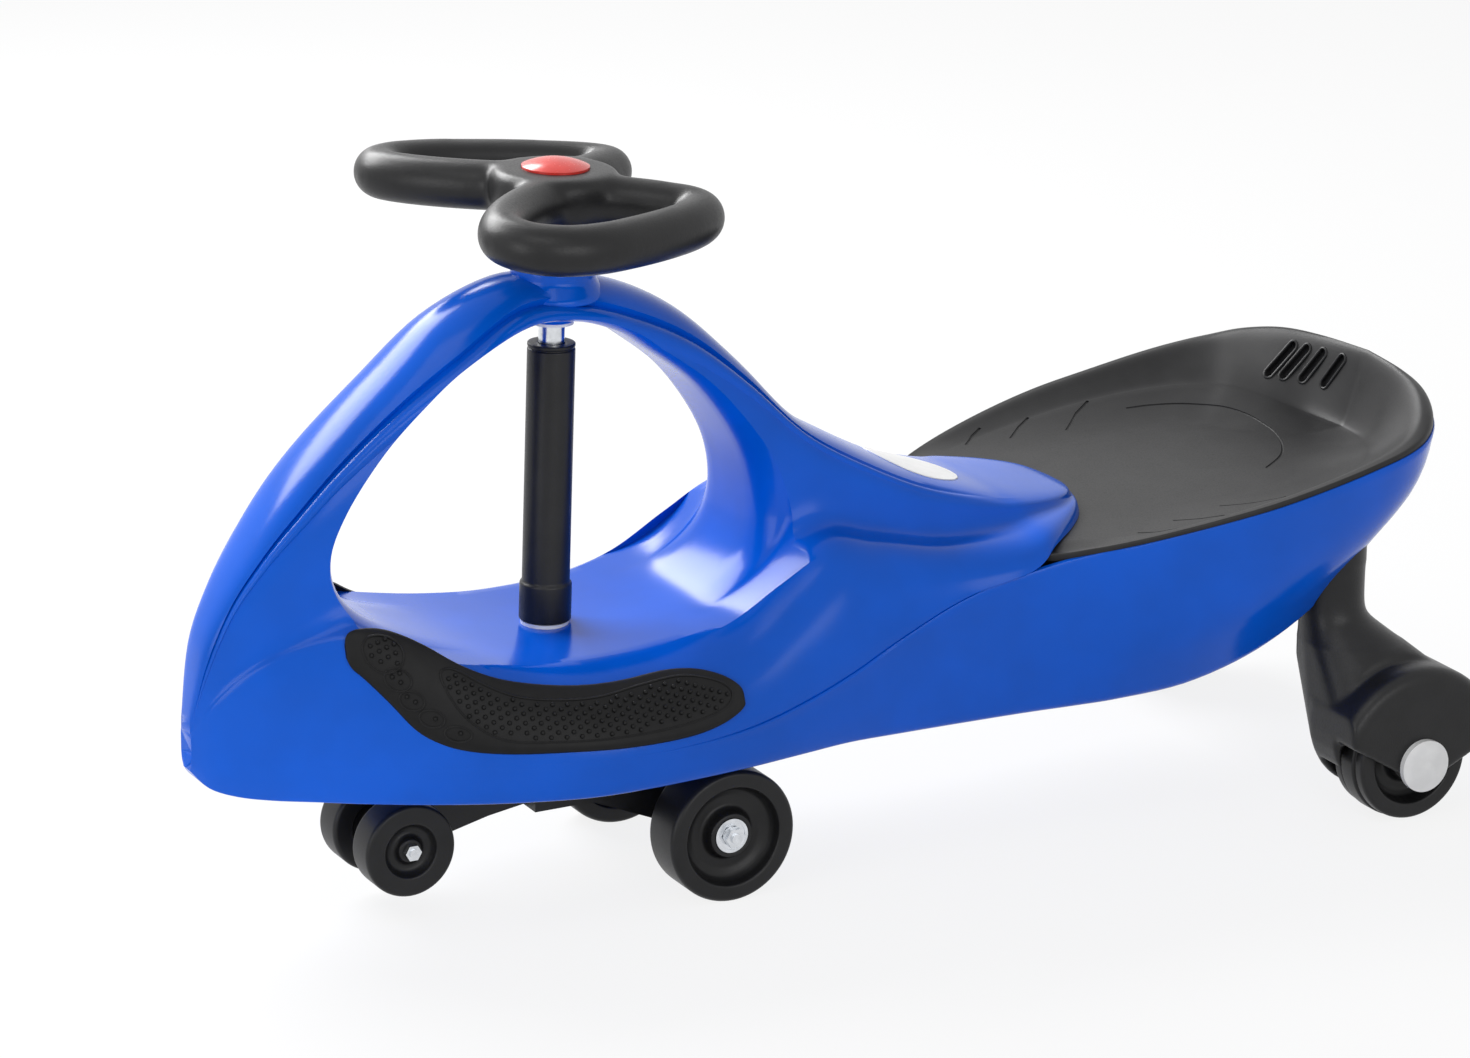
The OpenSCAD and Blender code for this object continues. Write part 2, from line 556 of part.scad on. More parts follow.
module steering_wheel() {
    color("#202020") on_column() difference() {
        union() {
            translate([0, 0, hub_low_z]) rotate_extrude() polygon([[0, 0], [20, 0], [20, hub_h * 0.2],
                [22.5, hub_h * 0.36], [29, hub_h * 0.5], [33, hub_h * 0.64], [33.5, hub_h * 0.84],
                [31, hub_h * 0.95], [27, hub_h], [0, hub_h]]);
            for (side = [0, 1]) mirror([0, side, 0]) translate([0, 0, grip_z])
                rotate([-grip_droop, -grip_tilt, 0]) grip_loop();
        }
        translate([0, 0, hub_low_z - 1]) cylinder(r = tube_r, h = hub_h - 20);
        translate([0, 0, hub_top_z - 30]) cylinder(r = 4.2, h = 30);
        translate([0, 0, hub_top_z - 12]) cylinder(r = cap_r - 2, h = 20);
        translate([0, 0, hub_top_z - 3]) cylinder(r = cap_r, h = 20);
    }
}

module hub_cap() {
    color("red") on_column() {
        dome_h = 4;
        dome_r = (cap_r * cap_r + dome_h * dome_h) / (2 * dome_h);
        translate([0, 0, hub_top_z - 3]) cylinder(r = cap_r, h = 4.7);
        intersection() {
            translate([0, 0, hub_top_z + 1.7 + dome_h - dome_r]) sphere(r = dome_r);
            translate([0, 0, hub_top_z + 1.7]) cylinder(r = cap_r, h = 10);
        }
    }
}

module hex(across_flats, h) {
    cylinder(r = across_flats / sqrt(3), h = h, $fn = 6);
}

module steering_bolt() {
    color("silver") on_column() {
        translate([0, 0, hub_top_z - 12]) cylinder(r = 9, h = 1.6);
        translate([0, 0, hub_top_z - 10.4]) hex(13, 5.3);
        translate([0, 0, hub_top_z - 46]) cylinder(r = 4, h = 36);
    }
}

module tube_plug() {
    color("gray") on_column() ring_solid(4, tube_r - tube_wall, hub_top_z - 46, hub_top_z - 24);
}

module foot_plug() {
    color("gray") on_column() ring_solid(4, tube_r - tube_wall, foot_z, foot_z + 24);
}

module bracket_bolt() {
    color("silver") on_column() {
        translate([0, 0, foot_z - 9.6]) cylinder(r = 11, h = 1.6);
        translate([0, 0, foot_z - 14.9]) hex(13, 5.3);
        translate([0, 0, foot_z - 9]) cylinder(r = 4, h = 31);
    }
}

module front_bracket() {
    top = keel_z - 2;
    color("#202020") difference() {
        union() {
            on_column() translate([0, 0, foot_z - 8]) cylinder(r = 20, h = top - foot_z + 8);
            translate([0, 26, 0]) rotate([90, 0, 0]) linear_extrude(52) polygon([
                [front_x - 9, front_r - 9], [front_x + 9, front_r - 9], [steer_x - 20, foot_z - 8],
                [steer_x + 14, foot_z - 8], [steer_x + 14, 70], [steer_x - 18, 70],
                [front_x + 18, 54], [front_x - 2, 50], [front_x - 10, front_r + 3]]);
            translate([0, 9.5, 0]) rotate([90, 0, 0]) linear_extrude(19) polygon([
                [steer_x + 8, foot_z - 8], [steer_x + 34, 44], [nose_x - 12, nose_z - 7],
                [nose_x - 3, nose_z - 8.5], [nose_x + 6, nose_z - 6], [nose_x + 8.5, nose_z],
                [nose_x + 5, nose_z + 7], [nose_x - 24, 60], [steer_x + 30, 68], [steer_x + 8, 70]]);
            cross_rod([front_x, front_r], 10, -51, 51);
        }
        on_column() translate([0, 0, foot_z]) cylinder(r = tube_r, h = 60);
        on_column() translate([0, 0, foot_z - 30]) cylinder(r = 4, h = 60);
        on_column() translate([0, 0, foot_z - 38]) cylinder(r = 12, h = 30);
        cross_rod([front_x, front_r], axle_r, -60, 60);
        cross_rod([nose_x, nose_z], nose_axle_r, -20, 20);
    }
}

module front_axle() {
    color("silver") cross_rod([front_x, front_r], axle_r, -front_half_axle, front_half_axle);
}

module hex_nuts(at, bore, flats, h, y) {
    for (side = [0, 1]) mirror([0, side, 0]) translate([at[0], y + h, at[1]]) rotate([90, 0, 0])
        difference() {
            hex(flats, h);
            translate([0, 0, -1]) cylinder(r = bore, h = h + 2);
        }
}

module front_axle_nuts() {
    color("silver") hex_nuts([front_x, front_r], axle_r, 10, 4.5, front_half_track + 12 + nut_gap);
}

module front_spacers() {
    color("silver") for (side = [0, 1]) mirror([0, side, 0])
        translate([front_x, 51, front_r]) rotate([-90, 0, 0])
        ring_solid(axle_r, 5, 0, front_half_track - 12 - nut_gap - 51);
}

module nose_axle() {
    reach = nose_half_track + nose_w / 2 + 4;
    color("silver") cross_rod([nose_x, nose_z], nose_axle_r, -reach, reach);
}

module nose_axle_nuts() {
    y = nose_half_track + nose_w / 2 - 1 + nut_gap;
    color("silver") hex_nuts([nose_x, nose_z], nose_axle_r, 8, 3.6, y);
}

module nose_spacers() {
    color("silver") for (side = [0, 1]) mirror([0, side, 0])
        translate([nose_x, 9.5, nose_z]) rotate([-90, 0, 0])
        ring_solid(nose_axle_r, 4.5, 0, nose_half_track - nose_w / 2 + 1 - nut_gap - 9.5);
}

// stands a wheel built about z on the axle, with its outer face to the given side
module on_axle(at, y, side) {
    translate([at[0], side * y, at[1]]) rotate([-90 * side, 0, 0]) children();
}

// main wheel: flat tread with bevelled edges, dished faces and a hub that takes a bearing at each end
module front_wheel() {
    w = front_w / 2;
    color("#202020") difference() {
        rotate_extrude() polygon([[axle_r + 1.5, -12], [hub_r, -12], [hub_r, -6], [26.5, -6], [27.5, -w],
            [front_r - 2, -w], [front_r, -w + 2.2], [front_r, w - 2.2], [front_r - 2, w], [27.5, w],
            [26.5, 6], [hub_r + 1.5, 6], [hub_r, 12], [axle_r + 1.5, 12]]);
        for (z = [-13, 12 - bearing_w]) translate([0, 0, z]) cylinder(r = bearing_r, h = bearing_w + 1);
    }
}

module bearings(y) {
    color("silver") for (z = [-y, y - bearing_w]) {
        ring_solid(axle_r + running, 5, z, z + bearing_w);
        ring_solid(5, 7.8, z + 0.5, z + bearing_w - 0.5);
        ring_solid(7.8, bearing_r, z, z + bearing_w);
    }
}

module left_front_wheel() {
    on_axle([front_x, front_r], front_half_track, 1) front_wheel();
}

module right_front_wheel() {
    on_axle([front_x, front_r], front_half_track, -1) front_wheel();
}

module left_front_bearings() {
    on_axle([front_x, front_r], front_half_track, 1) bearings(12);
}

module right_front_bearings() {
    on_axle([front_x, front_r], front_half_track, -1) bearings(12);
}

module nose_wheel() {
    w = nose_w / 2;
    bore = nose_axle_r + running;
    color("#202020") rotate_extrude() polygon([[bore, -w + 1], [7, -w + 1], [8, -w + 4], [13.5, -w + 4],
        [14.5, -w], [nose_r - 1.6, -w], [nose_r, -w + 1.8], [nose_r, w - 1.8], [nose_r - 1.6, w],
        [14.5, w], [13.5, w - 4], [8, w - 4], [7, w - 1], [bore, w - 1]]);
}

module left_nose_wheel() {
    on_axle([nose_x, nose_z], nose_half_track, 1) nose_wheel();
}

module right_nose_wheel() {
    on_axle([nose_x, nose_z], nose_half_track, -1) nose_wheel();
}

module rear_wheel() {
    w = rear_w / 2;
    color("#202020") difference() {
        rotate_extrude() polygon([[axle_r + 1.5, -12], [hub_r, -12], [hub_r, -5], [24, -5], [25.5, -w],
            [33.2, -w], [34.4, -w + 1.5], [34.4, -6.5], [rear_r, -5.8], [rear_r, 5.8], [34.4, 6.5],
            [34.4, w - 1.5], [33.2, w], [25.5, w], [24, 5], [hub_r, 5], [hub_r, 12], [axle_r + 1.5, 12]]);
        for (z = [-13, 12 - bearing_w]) translate([0, 0, z]) cylinder(r = bearing_r, h = bearing_w + 1);
    }
}

module left_rear_wheel() {
    on_axle([rear_x, rear_r], rear_half_track, 1) rear_wheel();
}

module right_rear_wheel() {
    on_axle([rear_x, rear_r], rear_half_track, -1) rear_wheel();
}

module left_rear_bearings() {
    on_axle([rear_x, rear_r], rear_half_track, 1) bearings(12);
}

module right_rear_bearings() {
    on_axle([rear_x, rear_r], rear_half_track, -1) bearings(12);
}

// rear leg: round post, sloping neck and a hood over the wheel, left side
module rear_leg() {
    reach = hood_out - hood_in;
    color("#202020") difference() {
        union() {
            translate([leg_x, leg_y, 84]) cylinder(r = leg_stem_r, h = socket_top - 84);
            hull() {
                translate([leg_x, leg_y, 84]) cylinder(r = leg_stem_r, h = 26, $fn = 32);
                translate([rear_x + 4, hood_in + 25, 52]) rotate([90, 0, 0])
                    cylinder(r = 41, h = 25, $fn = 32);
            }
            intersection() {
                translate([rear_x, hood_out, rear_r]) rotate([90, 0, 0]) rotate_extrude() difference() {
                    square([hood_r, reach]);
                    translate([hood_r - 8, 0]) difference() {
                        translate([0, -1]) square([9, 9]);
                        translate([0, 8]) circle(r = 8);
                    }
                }
                translate([rear_x, hood_out + 1, rear_r]) rotate([90, 0, 0]) linear_extrude(reach + 2)
                    polygon([[45, 70], [45, 15.5], [12, -5], [0, -12], [-12, -9], [-60, 14], [-60, 70]]);
            }
            cross_rod([rear_x, rear_r], 13.5, hood_out - 4.5, hood_out);
            cross_rod([rear_x, rear_r], 13.5, hood_in, hood_in + 4.5);
        }
        translate([leg_x, leg_y, socket_top - 24]) cylinder(r = screw_r, h = 30);
        cross_rod([rear_x, rear_r], rear_r + 4.5, hood_in + 4.5, hood_out - 4.5);
        translate([rear_x - 60, hood_in + 4.5, -10]) cube([120, reach - 9, 40]);
        cross_rod([rear_x, rear_r], axle_r, hood_in - 20, hood_out + 5);
        cross_rod([rear_x, rear_r], 8, hood_in - 40, hood_in);
    }
}

module left_rear_leg() {
    rear_leg();
}

module right_rear_leg() {
    mirror([0, 1, 0]) rear_leg();
}

module rear_axle() {
    color("silver") {
        cross_rod([rear_x, rear_r], axle_r, hood_in - 5, hood_out + 1.5);
        translate([rear_x, hood_out + 4, rear_r]) rotate([90, 0, 0]) hex(10, 4);
    }
}

module left_rear_axle() {
    rear_axle();
}

module right_rear_axle() {
    mirror([0, 1, 0]) rear_axle();
}

module rear_axle_nuts() {
    color("silver") hex_nuts([rear_x, rear_r], axle_r, 10, 4.5, hood_in - 4.5);
}

module rear_axle_caps() {
    dome_r = 73;
    color("white") for (side = [-1, 1]) on_axle([rear_x, rear_r], hood_out, side) difference() {
        union() {
            cylinder(r = 14.8, h = 3.5);
            intersection() {
                translate([0, 0, 5 - dome_r]) sphere(r = dome_r);
                translate([0, 0, 3.4]) cylinder(r = 14.8, h = 5);
            }
        }
        translate([0, 0, -1]) cylinder(r = 6, h = 5.1);
    }
}

module shell_screws() {
    color("silver") for (p = SHELL_POSTS) for (side = [-1, 1]) screw([p[0], side * p[1]], keel_z, 24);
}

module seat_screws() {
    color("silver") for (p = SEAT_POSTS) for (side = [-1, 1]) round_screw([p[0], side * p[1]], p[2], 24);
}

// flat-headed screws that draw the posts of the rear legs up into their sockets
module leg_screws() {
    color("silver") for (side = [-1, 1]) translate([leg_x, side * leg_y, 0]) {
        translate([0, 0, socket_top - 20]) cylinder(r = screw_r, h = 24);
        translate([0, 0, socket_top + 3]) cylinder(r = 2 * screw_r + 1, h = 2);
    }
}

upper_shell();
lower_shell();
seat_tray();
left_foot_pad();
right_foot_pad();
upper_bush();
lower_bush();
steering_wheel();
hub_cap();
steering_bolt();
tube_plug();
steering_tube();
column_sleeve();
foot_plug();
bracket_bolt();
front_bracket();
front_axle();
front_axle_nuts();
front_spacers();
nose_axle();
nose_axle_nuts();
nose_spacers();
left_front_wheel();
right_front_wheel();
left_front_bearings();
right_front_bearings();
left_nose_wheel();
right_nose_wheel();
left_rear_leg();
right_rear_leg();
left_rear_wheel();
right_rear_wheel();
left_rear_bearings();
right_rear_bearings();
left_rear_axle();
right_rear_axle();
rear_axle_nuts();
rear_axle_caps();
shell_screws();
seat_screws();
leg_screws();
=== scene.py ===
import json
import math

import bmesh
import bpy
from mathutils import Matrix, Vector
from mathutils.bvhtree import BVHTree


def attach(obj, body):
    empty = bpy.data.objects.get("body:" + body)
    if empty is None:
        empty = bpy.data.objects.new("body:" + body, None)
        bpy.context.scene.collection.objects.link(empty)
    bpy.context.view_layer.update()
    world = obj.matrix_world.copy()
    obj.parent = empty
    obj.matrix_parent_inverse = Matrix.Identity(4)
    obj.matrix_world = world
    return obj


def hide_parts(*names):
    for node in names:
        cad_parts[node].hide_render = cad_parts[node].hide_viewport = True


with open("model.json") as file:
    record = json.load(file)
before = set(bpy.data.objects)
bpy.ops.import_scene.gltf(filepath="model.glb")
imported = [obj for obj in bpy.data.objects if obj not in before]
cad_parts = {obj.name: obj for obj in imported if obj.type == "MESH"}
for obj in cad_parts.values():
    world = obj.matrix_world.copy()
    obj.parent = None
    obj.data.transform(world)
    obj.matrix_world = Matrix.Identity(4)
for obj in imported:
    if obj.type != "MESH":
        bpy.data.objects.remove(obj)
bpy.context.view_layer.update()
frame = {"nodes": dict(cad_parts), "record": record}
nodes = frame["nodes"]

MM = 0.001

# Camera of the photograph: picture width and focal length in pixels, turn from a pure left-side view
# towards the front, height angle, roll, and its place in millimetres.
IMAGE_W = 1470
FOCAL_PX = 5533.9
CAMERA_TURN = math.radians(27.74)
CAMERA_RISE = math.radians(17.71)
CAMERA_ROLL = math.radians(0.11)
CAMERA_AT = Vector((1365.7, 2511.5, 1085.2))

# Sizes of the real object in millimetres, in the same frame as the solids.
RAKE = math.radians(2)
STEER_X = 164.0
TUBE_R = 7.0
SLEEVE_R = 12.75
SLEEVE_LOW = 146.6
SLEEVE_TOP = 298.0
DECK_Z = 144.0
BUSH_R = 10.0
HOOP_LOW = 310.0
HOOP_TOP = 330.0
BOSS_R = 13.5
COLLAR_R = 22.5
COLLAR_TOP = 340.0
HUB_LOW = 341.0
HUB_TOP = 391.0
CAP_R = 17.85
GRIP_R = 12.5
GRIP_Z = 379.0
GRIP_DROOP = math.radians(3.5)
GRIP_TILT = math.radians(1.5)
WALL = 3.0
CLOSED_END = 0.01
FLUSH_X, FLUSH_FADE = 150, 70
TRAY_WALL = 2.5
DECK_THICK = 9.0
PAD_RISE = 2.0
KEEL_Z = 80.5
FRONT_X, FRONT_R, FRONT_W, FRONT_TRACK = 87.7, 36.7, 28.6, 66.8
NOSE_X, NOSE_Z, NOSE_R, NOSE_W, NOSE_TRACK = 252.7, 40.8, 25.5, 20.4, 21.4
REAR_X, REAR_R, REAR_W, REAR_TRACK = -303.0, 35.0, 28.6, 130.0
AXLE_R = 3.0
BEARING_R, BEARING_W = 9.5, 6.0
HUB_R, HUB_HALF = 12.2, 12.0
LEG_X, LEG_Y, LEG_STEM_R, SOCKET_TOP = -280.0, 92.0, 18.5, 169.0
SCREW_HEAD_R = 4.0
SCREW_PLACES = ((242, 45), (92, 70), (12, 60))
SLOT_W, SLOT_H, SLOT_SLANT, SLOT_RISE, SLOT_SHARE = 5.0, 17.0, math.radians(-28), 26.5, 0.465
FLAT_X, FLAT_SHARE = -235.0, 0.62
PAN_SLOPE = 0.05
BADGE_X, BADGE_R = -62.0, 27.0


def pan_z(x):
    """Height of the flat seat pan."""
    return 172 - PAN_SLOPE * (x + 128)


# Stations of the upper shell from the nose back: x, parting half width and height, deck half width and
# height, hoop half width, spine height, spine half width, depth of the groove beside the spine band and its
# place (0 to 1) round the section.
UPPER = [Vector(row) for row in (
    (365, 7, 104, 6.5, 116, 6, 126, 4, 0, 0.62),
    (358, 17, 103.8, 15, 132, 13.5, 164, 9, 0.8, 0.7),
    (346, 26, 103.5, 22.5, 147, 20, 190, 13, 1.6, 0.8),
    (330, 35.5, 103.2, 30, 159, 26, 215, 16, 2.3, 0.822),
    (310, 46, 103, 37.5, 168, 31, 242, 18, 2.8, 0.815),
    (287, 60, 103, 46, 173, 34.5, 266, 19.5, 3, 0.828),
    (257, 77, 103, 52, 166.5, 37, 292.5, 20.5, 3, 0.839),
    (222, 92, 103, 55, 153, 38.5, 321, 21.5, 3, 0.836),
    (182, 103, 102.5, 55.5, 145.2, 39.5, 336.5, 23, 3, 0.88),
    (149, 105.5, 102, 55, 144, 40, 334, 24, 3, 0.89),
    (117, 104.5, 102.5, 54.5, 146.5, 40, 327, 24, 3, 0.87),
    (84, 101.5, 105.5, 55, 156, 40, 309.5, 24, 3, 0.86),
    (52, 98, 113, 56, 175, 41, 280, 24, 3, 0.85),
    (22, 94.5, 123, 58, 190, 44, 247, 25, 2.5, 0.83),
    (-8, 91.5, 136, 61, 184, 47, 227.5, 25, 2, 0.81),
    (-48, 90, 152, 66, 176, 50, 206.5, 24, 1, 0.8),
    (-88, 92, 161.5, 70, 176, 52, 192.5, 28, 0, 0.8),
    (-107, 83, pan_z(-107), 66, 179, 52, 188.5, 29, 0, 0.8),
    (-130, 62, pan_z(-130), 52, 179, 44, 185, 28, 0, 0.8),
    (-146, 42, pan_z(-146), 36, 178.5, 31, 182.5, 20, 0, 0.8),
    (-154, 20, pan_z(-154), 17, 177.5, 15, 180, 9, 0, 0.8),
    (-156.5, 6, pan_z(-156.5), 5, 176, 4.6, 178, 3, 0, 0.8))]

# Hull under the parting line: underside half width and height above the keel at the stations above, then
# behind them x, rim half width and height, underside half width and height above the keel.
KEEL = (
    (4.5, 15.5), (14, 7.5), (23, 3.5), (32, 1.5), (42.5, 0.5), (56.5, 0), (74, 0), (90, 0), (102, 0),
    (104, 0), (102.5, 0), (99.5, 0), (95, 0), (91, 0), (88, -1.5), (87, -2.5), (89, -2.5))
STERN = (
    (-118, 100, 168.5, 93, -2),
    (-142, 110.7, 173.4, 98, -0.5),
    (-180, 121.5, 180.8, 103.5, 3.5),
    (-218, 128, 187.7, 105, 13.5),
    (-253, 128.3, 194, 102, 28),
    (-285, 126.4, 200.2, 97, 47.5),
    (-308, 122.3, 204.5, 90.5, 65),
    (-325, 113.8, 208, 82, 78),
    (-340, 97.8, 212, 68, 90),
    (-352, 72.8, 215.5, 48, 102.5),
    (-359.5, 41, 217, 27, 114.5),
    (-364, 14, 217.6, 10, 124.5),
    (-365, 5, 217.8, 4, 130))
LOWER = [Vector((u[0], u[1], u[2], k[0], KEEL_Z + k[1])) for u, k in zip(UPPER, KEEL)]
LOWER += [Vector((*row[:4], KEEL_Z + row[4])) for row in STERN]

# Seat tray from the middle of its front edge round to the middle of its back: x, y, z of the edge, x, y of
# the foot of its wall, rise of the crest inside the edge, rise of the foot above the flat pan. The slots,
# given by their place along these rows, are in its right half.
TRAY = [Vector(row) for row in (
    (-76, 0, pan_z(-76), -86, 0, 0, 0),
    (-78, 40, pan_z(-78), -88, 34, 0, 0),
    (-86, 68, pan_z(-86), -95, 58, 0, 0),
    (-100, 87, 168, -108, 72, 0, 0),
    (-120, 100, 171.6, -126, 84, 0, 0.3),
    (-148, 111.7, 177, -152, 95, 0, 1.2),
    (-183, 121.4, 183.8, -186, 101, 0, 3.6),
    (-218, 127.2, 190.2, -218, 104, 0, 6.3),
    (-253, 127.5, 196.5, -250, 103, 0, 8.5),
    (-285, 125.6, 202.7, -276, 98, 0, 10),
    (-308, 121.5, 207, -294, 90, 0.5, 11),
    (-325, 113, 210.5, -307, 80, 2, 11.2),
    (-340, 97, 214.5, -315.5, 68, 4.5, 11.2),
    (-352, 72, 218, -326, 50, 6, 8.4),
    (-359.5, 40, 219.5, -338, 28, 6, 3),
    (-364, 0, 220, -345, 0, 6, 0.5))]
SLOT_PLACES = (13.19, 13.54, 13.95, 14.38)

# Lines engraved in the seat, seen from above: three chevrons on the left, which the right side mirrors, and
# one arc.
CHEVRONS = (((-152, 92.5), (-161, 101), (-169, 106)), ((-178, 87), (-189.5, 97.5), (-200, 104.5)),
            ((-211.5, 81), (-227, 96), (-239.5, 104)))
SEAT_ARC = (
    (-255.5, -88), (-270, -84), (-285, -76), (-298.5, -63), (-308, -44), (-310.5, -24), (-307, -8),
    (-300, 8), (-291, 21), (-282, 29), (-270.5, 37))

# Outline of the window in the hoop, seen from the side.
WINDOW = [Vector(point) for point in (
    (180, 314), (215, 297), (238, 280), (261, 259), (282, 232), (292, 208), (287, 185), (264, 166),
    (224, 151), (182, 145), (142, 144.5), (102, 149), (74, 158), (54, 178), (48.5, 204), (56, 234),
    (80, 269), (110, 294), (128, 306), (152, 314))]

# Left foot pad along the deck: station, lower and upper edge round the section; then the outline of its
# dotted field, and the middles and half sizes (mm) of the five toe ovals.
PAD = [Vector(row) for row in (
    (4.66, 0.215, 0.255), (4.75, 0.185, 0.305), (4.95, 0.16, 0.335), (5.35, 0.11, 0.35),
    (5.7, 0.065, 0.325), (6.05, 0.042, 0.285), (6.45, 0.03, 0.245), (7.05, 0.025, 0.22),
    (7.8, 0.025, 0.21), (8.8, 0.022, 0.21), (9.55, 0.022, 0.215), (10.05, 0.025, 0.195),
    (10.45, 0.034, 0.155), (10.7, 0.047, 0.115), (10.8, 0.06, 0.085))]
PAD_FIELD = [Vector(point) for point in (
    (6.15, 0.19), (6.35, 0.215), (6.75, 0.19), (7.2, 0.165), (7.75, 0.16), (8.35, 0.165), (9.1, 0.18),
    (9.8, 0.18), (10.35, 0.14), (10.58, 0.095), (10.35, 0.065), (9.55, 0.055), (8.5, 0.052), (7.6, 0.052),
    (7.0, 0.055), (6.6, 0.08), (6.3, 0.125))]
PAD_TOES = (
    (5.32, 0.235, 10.5, 9.5), (5.5, 0.165, 7, 6), (5.68, 0.122, 6.5, 5), (5.95, 0.09, 6.5, 4.5),
    (6.3, 0.064, 7, 4))
DOT_STEP = 4.7
DOT_R = 1.25

# Line that the tube of the left grip loop follows, seen from above, from the front round the outside.
GRIP_LINE = [Vector(point) for point in (
    (64, 76), (58, 92), (42, 100.5), (22, 100), (0, 93), (-22, 83.5), (-42, 72), (-54, 60), (-55, 48.5),
    (-45, 38), (-30, 26.5), (-12, 19), (6, 19), (25, 27), (43, 42), (57, 59))]

# Lamps: name, place (m), size (m), watts and the place they aim at; strength of the world's light; share of
# plain white in what is seen of the floor.
LAMPS = (
    ("key_overhead", (0.9, 0.9, 2.0), (1.3, 0.9), 6, (0, 0, 0.15)),
    ("front_fill", (2.2, 0.8, 0.7), (1.0, 1.2), 10, (0.1, 0, 0.15)),
    ("side_fill", (0.0, 2.6, 0.9), (1.8, 1.0), 15, (0, 0, 0.15)),
    ("far_softbox", (0.6, -1.5, 1.4), (1.7, 0.9), 58, (0.1, 0, 0.2)))
WORLD_STRENGTH = 0.32
FLOOR_WHITE = 0.85
FLOOR_SIZE = 6.0

COLUMN = Matrix.Translation((STEER_X, 0, 0)) @ Matrix.Rotation(-RAKE, 4, "Y")
UP = Vector((0, 0, 1))


def linear(hex_colour):
    """sRGB hex to the linear colour that shaders take."""
    channels = [int(hex_colour[i:i + 2], 16) / 255 for i in (1, 3, 5)]
    return tuple(c / 12.92 if c <= 0.04045 else ((c + 0.055) / 1.055) ** 2.4 for c in channels) + (1.0,)


def add(tree, kind, settings=None, values=None, links=None):
    """Adds one node: settings are its own properties, values its unlinked sockets, links {socket: output}."""
    node = tree.nodes.new(kind)
    for name, value in (settings or {}).items():
        setattr(node, name, value)
    for name, value in (values or {}).items():
        node.inputs[name].default_value = value
    for name, output in (links or {}).items():
        tree.links.new(output, node.inputs[name])
    return node


def new_material(name, hex_colour, **sockets):
    """A material with its Principled shader, whose constant sockets are set directly."""
    material = bpy.data.materials.new(name)
    material.use_nodes = True
    shader = material.node_tree.nodes["Principled BSDF"]
    shader.inputs["Base Color"].default_value = linear(hex_colour)
    for socket, value in sockets.items():
        shader.inputs[socket.replace("_", " ")].default_value = value
    return material, material.node_tree, shader


def noise(tree, coords, grain, detail):
    """Noise with a grain in millimetres."""
    return add(tree, "ShaderNodeTexNoise", values={"Scale": 1 / (grain * MM), "Detail": detail},
               links={"Vector": coords}).outputs["Fac"]


def tinted(tree, shader, light_hex, dark_hex, grain, coords):
    """Base colour that drifts between two shades with a noise whose grain is in millimetres."""
    ramp = add(tree, "ShaderNodeValToRGB", links={"Fac": noise(tree, coords, grain, 3.0)})
    ramp.color_ramp.elements[0].position = 0.35
    ramp.color_ramp.elements[1].position = 0.65
    ramp.color_ramp.elements[0].color = linear(dark_hex)
    ramp.color_ramp.elements[1].color = linear(light_hex)
    tree.links.new(ramp.outputs["Color"], shader.inputs["Base Color"])


def bumped(tree, shader, height, distance, strength):
    """Bump of a real depth in millimetres from a height output."""
    bump = add(tree, "ShaderNodeBump", values={"Distance": distance * MM, "Strength": strength},
               links={"Height": height})
    tree.links.new(bump.outputs["Normal"], shader.inputs["Normal"])


def rough_range(tree, shader, source, low, high):
    """Roughness that follows an output between two values."""
    spread = add(tree, "ShaderNodeMapRange", values={"To Min": low, "To Max": high}, links={"Value": source})
    tree.links.new(spread.outputs["Result"], shader.inputs["Roughness"])


def blue_polypropylene():
    # Glossy moulded polypropylene: deep even blue with a clear sheen, and the faint orange peel of the mould.
    material, tree, shader = new_material("blue_moulded_polypropylene", "#0057cb", IOR=1.45,
                                          Specular_IOR_Level=0.24)
    coords = add(tree, "ShaderNodeTexCoord").outputs["Object"]
    tinted(tree, shader, "#005ad2", "#0054c4", 60, coords)
    peel = noise(tree, coords, 2.2, 2.0)
    bumped(tree, shader, peel, 0.04, 0.2)
    rough_range(tree, shader, peel, 0.15, 0.22)
    return material


def grained_black_plastic(name, light_hex, dark_hex, rough_low, rough_high, grain, depth):
    # Moulded black plastic with an etched grain: soft wide highlights that break up into small specks. The
    # roughness runs from low to high; grain and depth are in millimetres.
    material, tree, shader = new_material(name, light_hex, IOR=1.49, Specular_IOR_Level=0.3)
    coords = add(tree, "ShaderNodeTexCoord").outputs["Object"]
    tinted(tree, shader, light_hex, dark_hex, 14, coords)
    cells = add(tree, "ShaderNodeTexVoronoi", settings={"feature": "SMOOTH_F1"},
                values={"Scale": 1 / (grain * MM), "Smoothness": 0.6}, links={"Vector": coords})
    bumped(tree, shader, cells.outputs["Distance"], depth, 0.5)
    rough_range(tree, shader, cells.outputs["Distance"], rough_low, rough_high)
    return material


def foot_rubber():
    # Moulded anti-slip rubber: nearly black, dull, with a dusty bloom.
    material, tree, shader = new_material("black_moulded_rubber", "#0e0e0f", IOR=1.5, Specular_IOR_Level=0.2)
    coords = add(tree, "ShaderNodeTexCoord").outputs["Object"]
    tinted(tree, shader, "#111112", "#0c0c0d", 8, coords)
    dust = noise(tree, coords, 0.9, 4.0)
    bumped(tree, shader, dust, 0.06, 0.3)
    rough_range(tree, shader, dust, 0.42, 0.56)
    return material


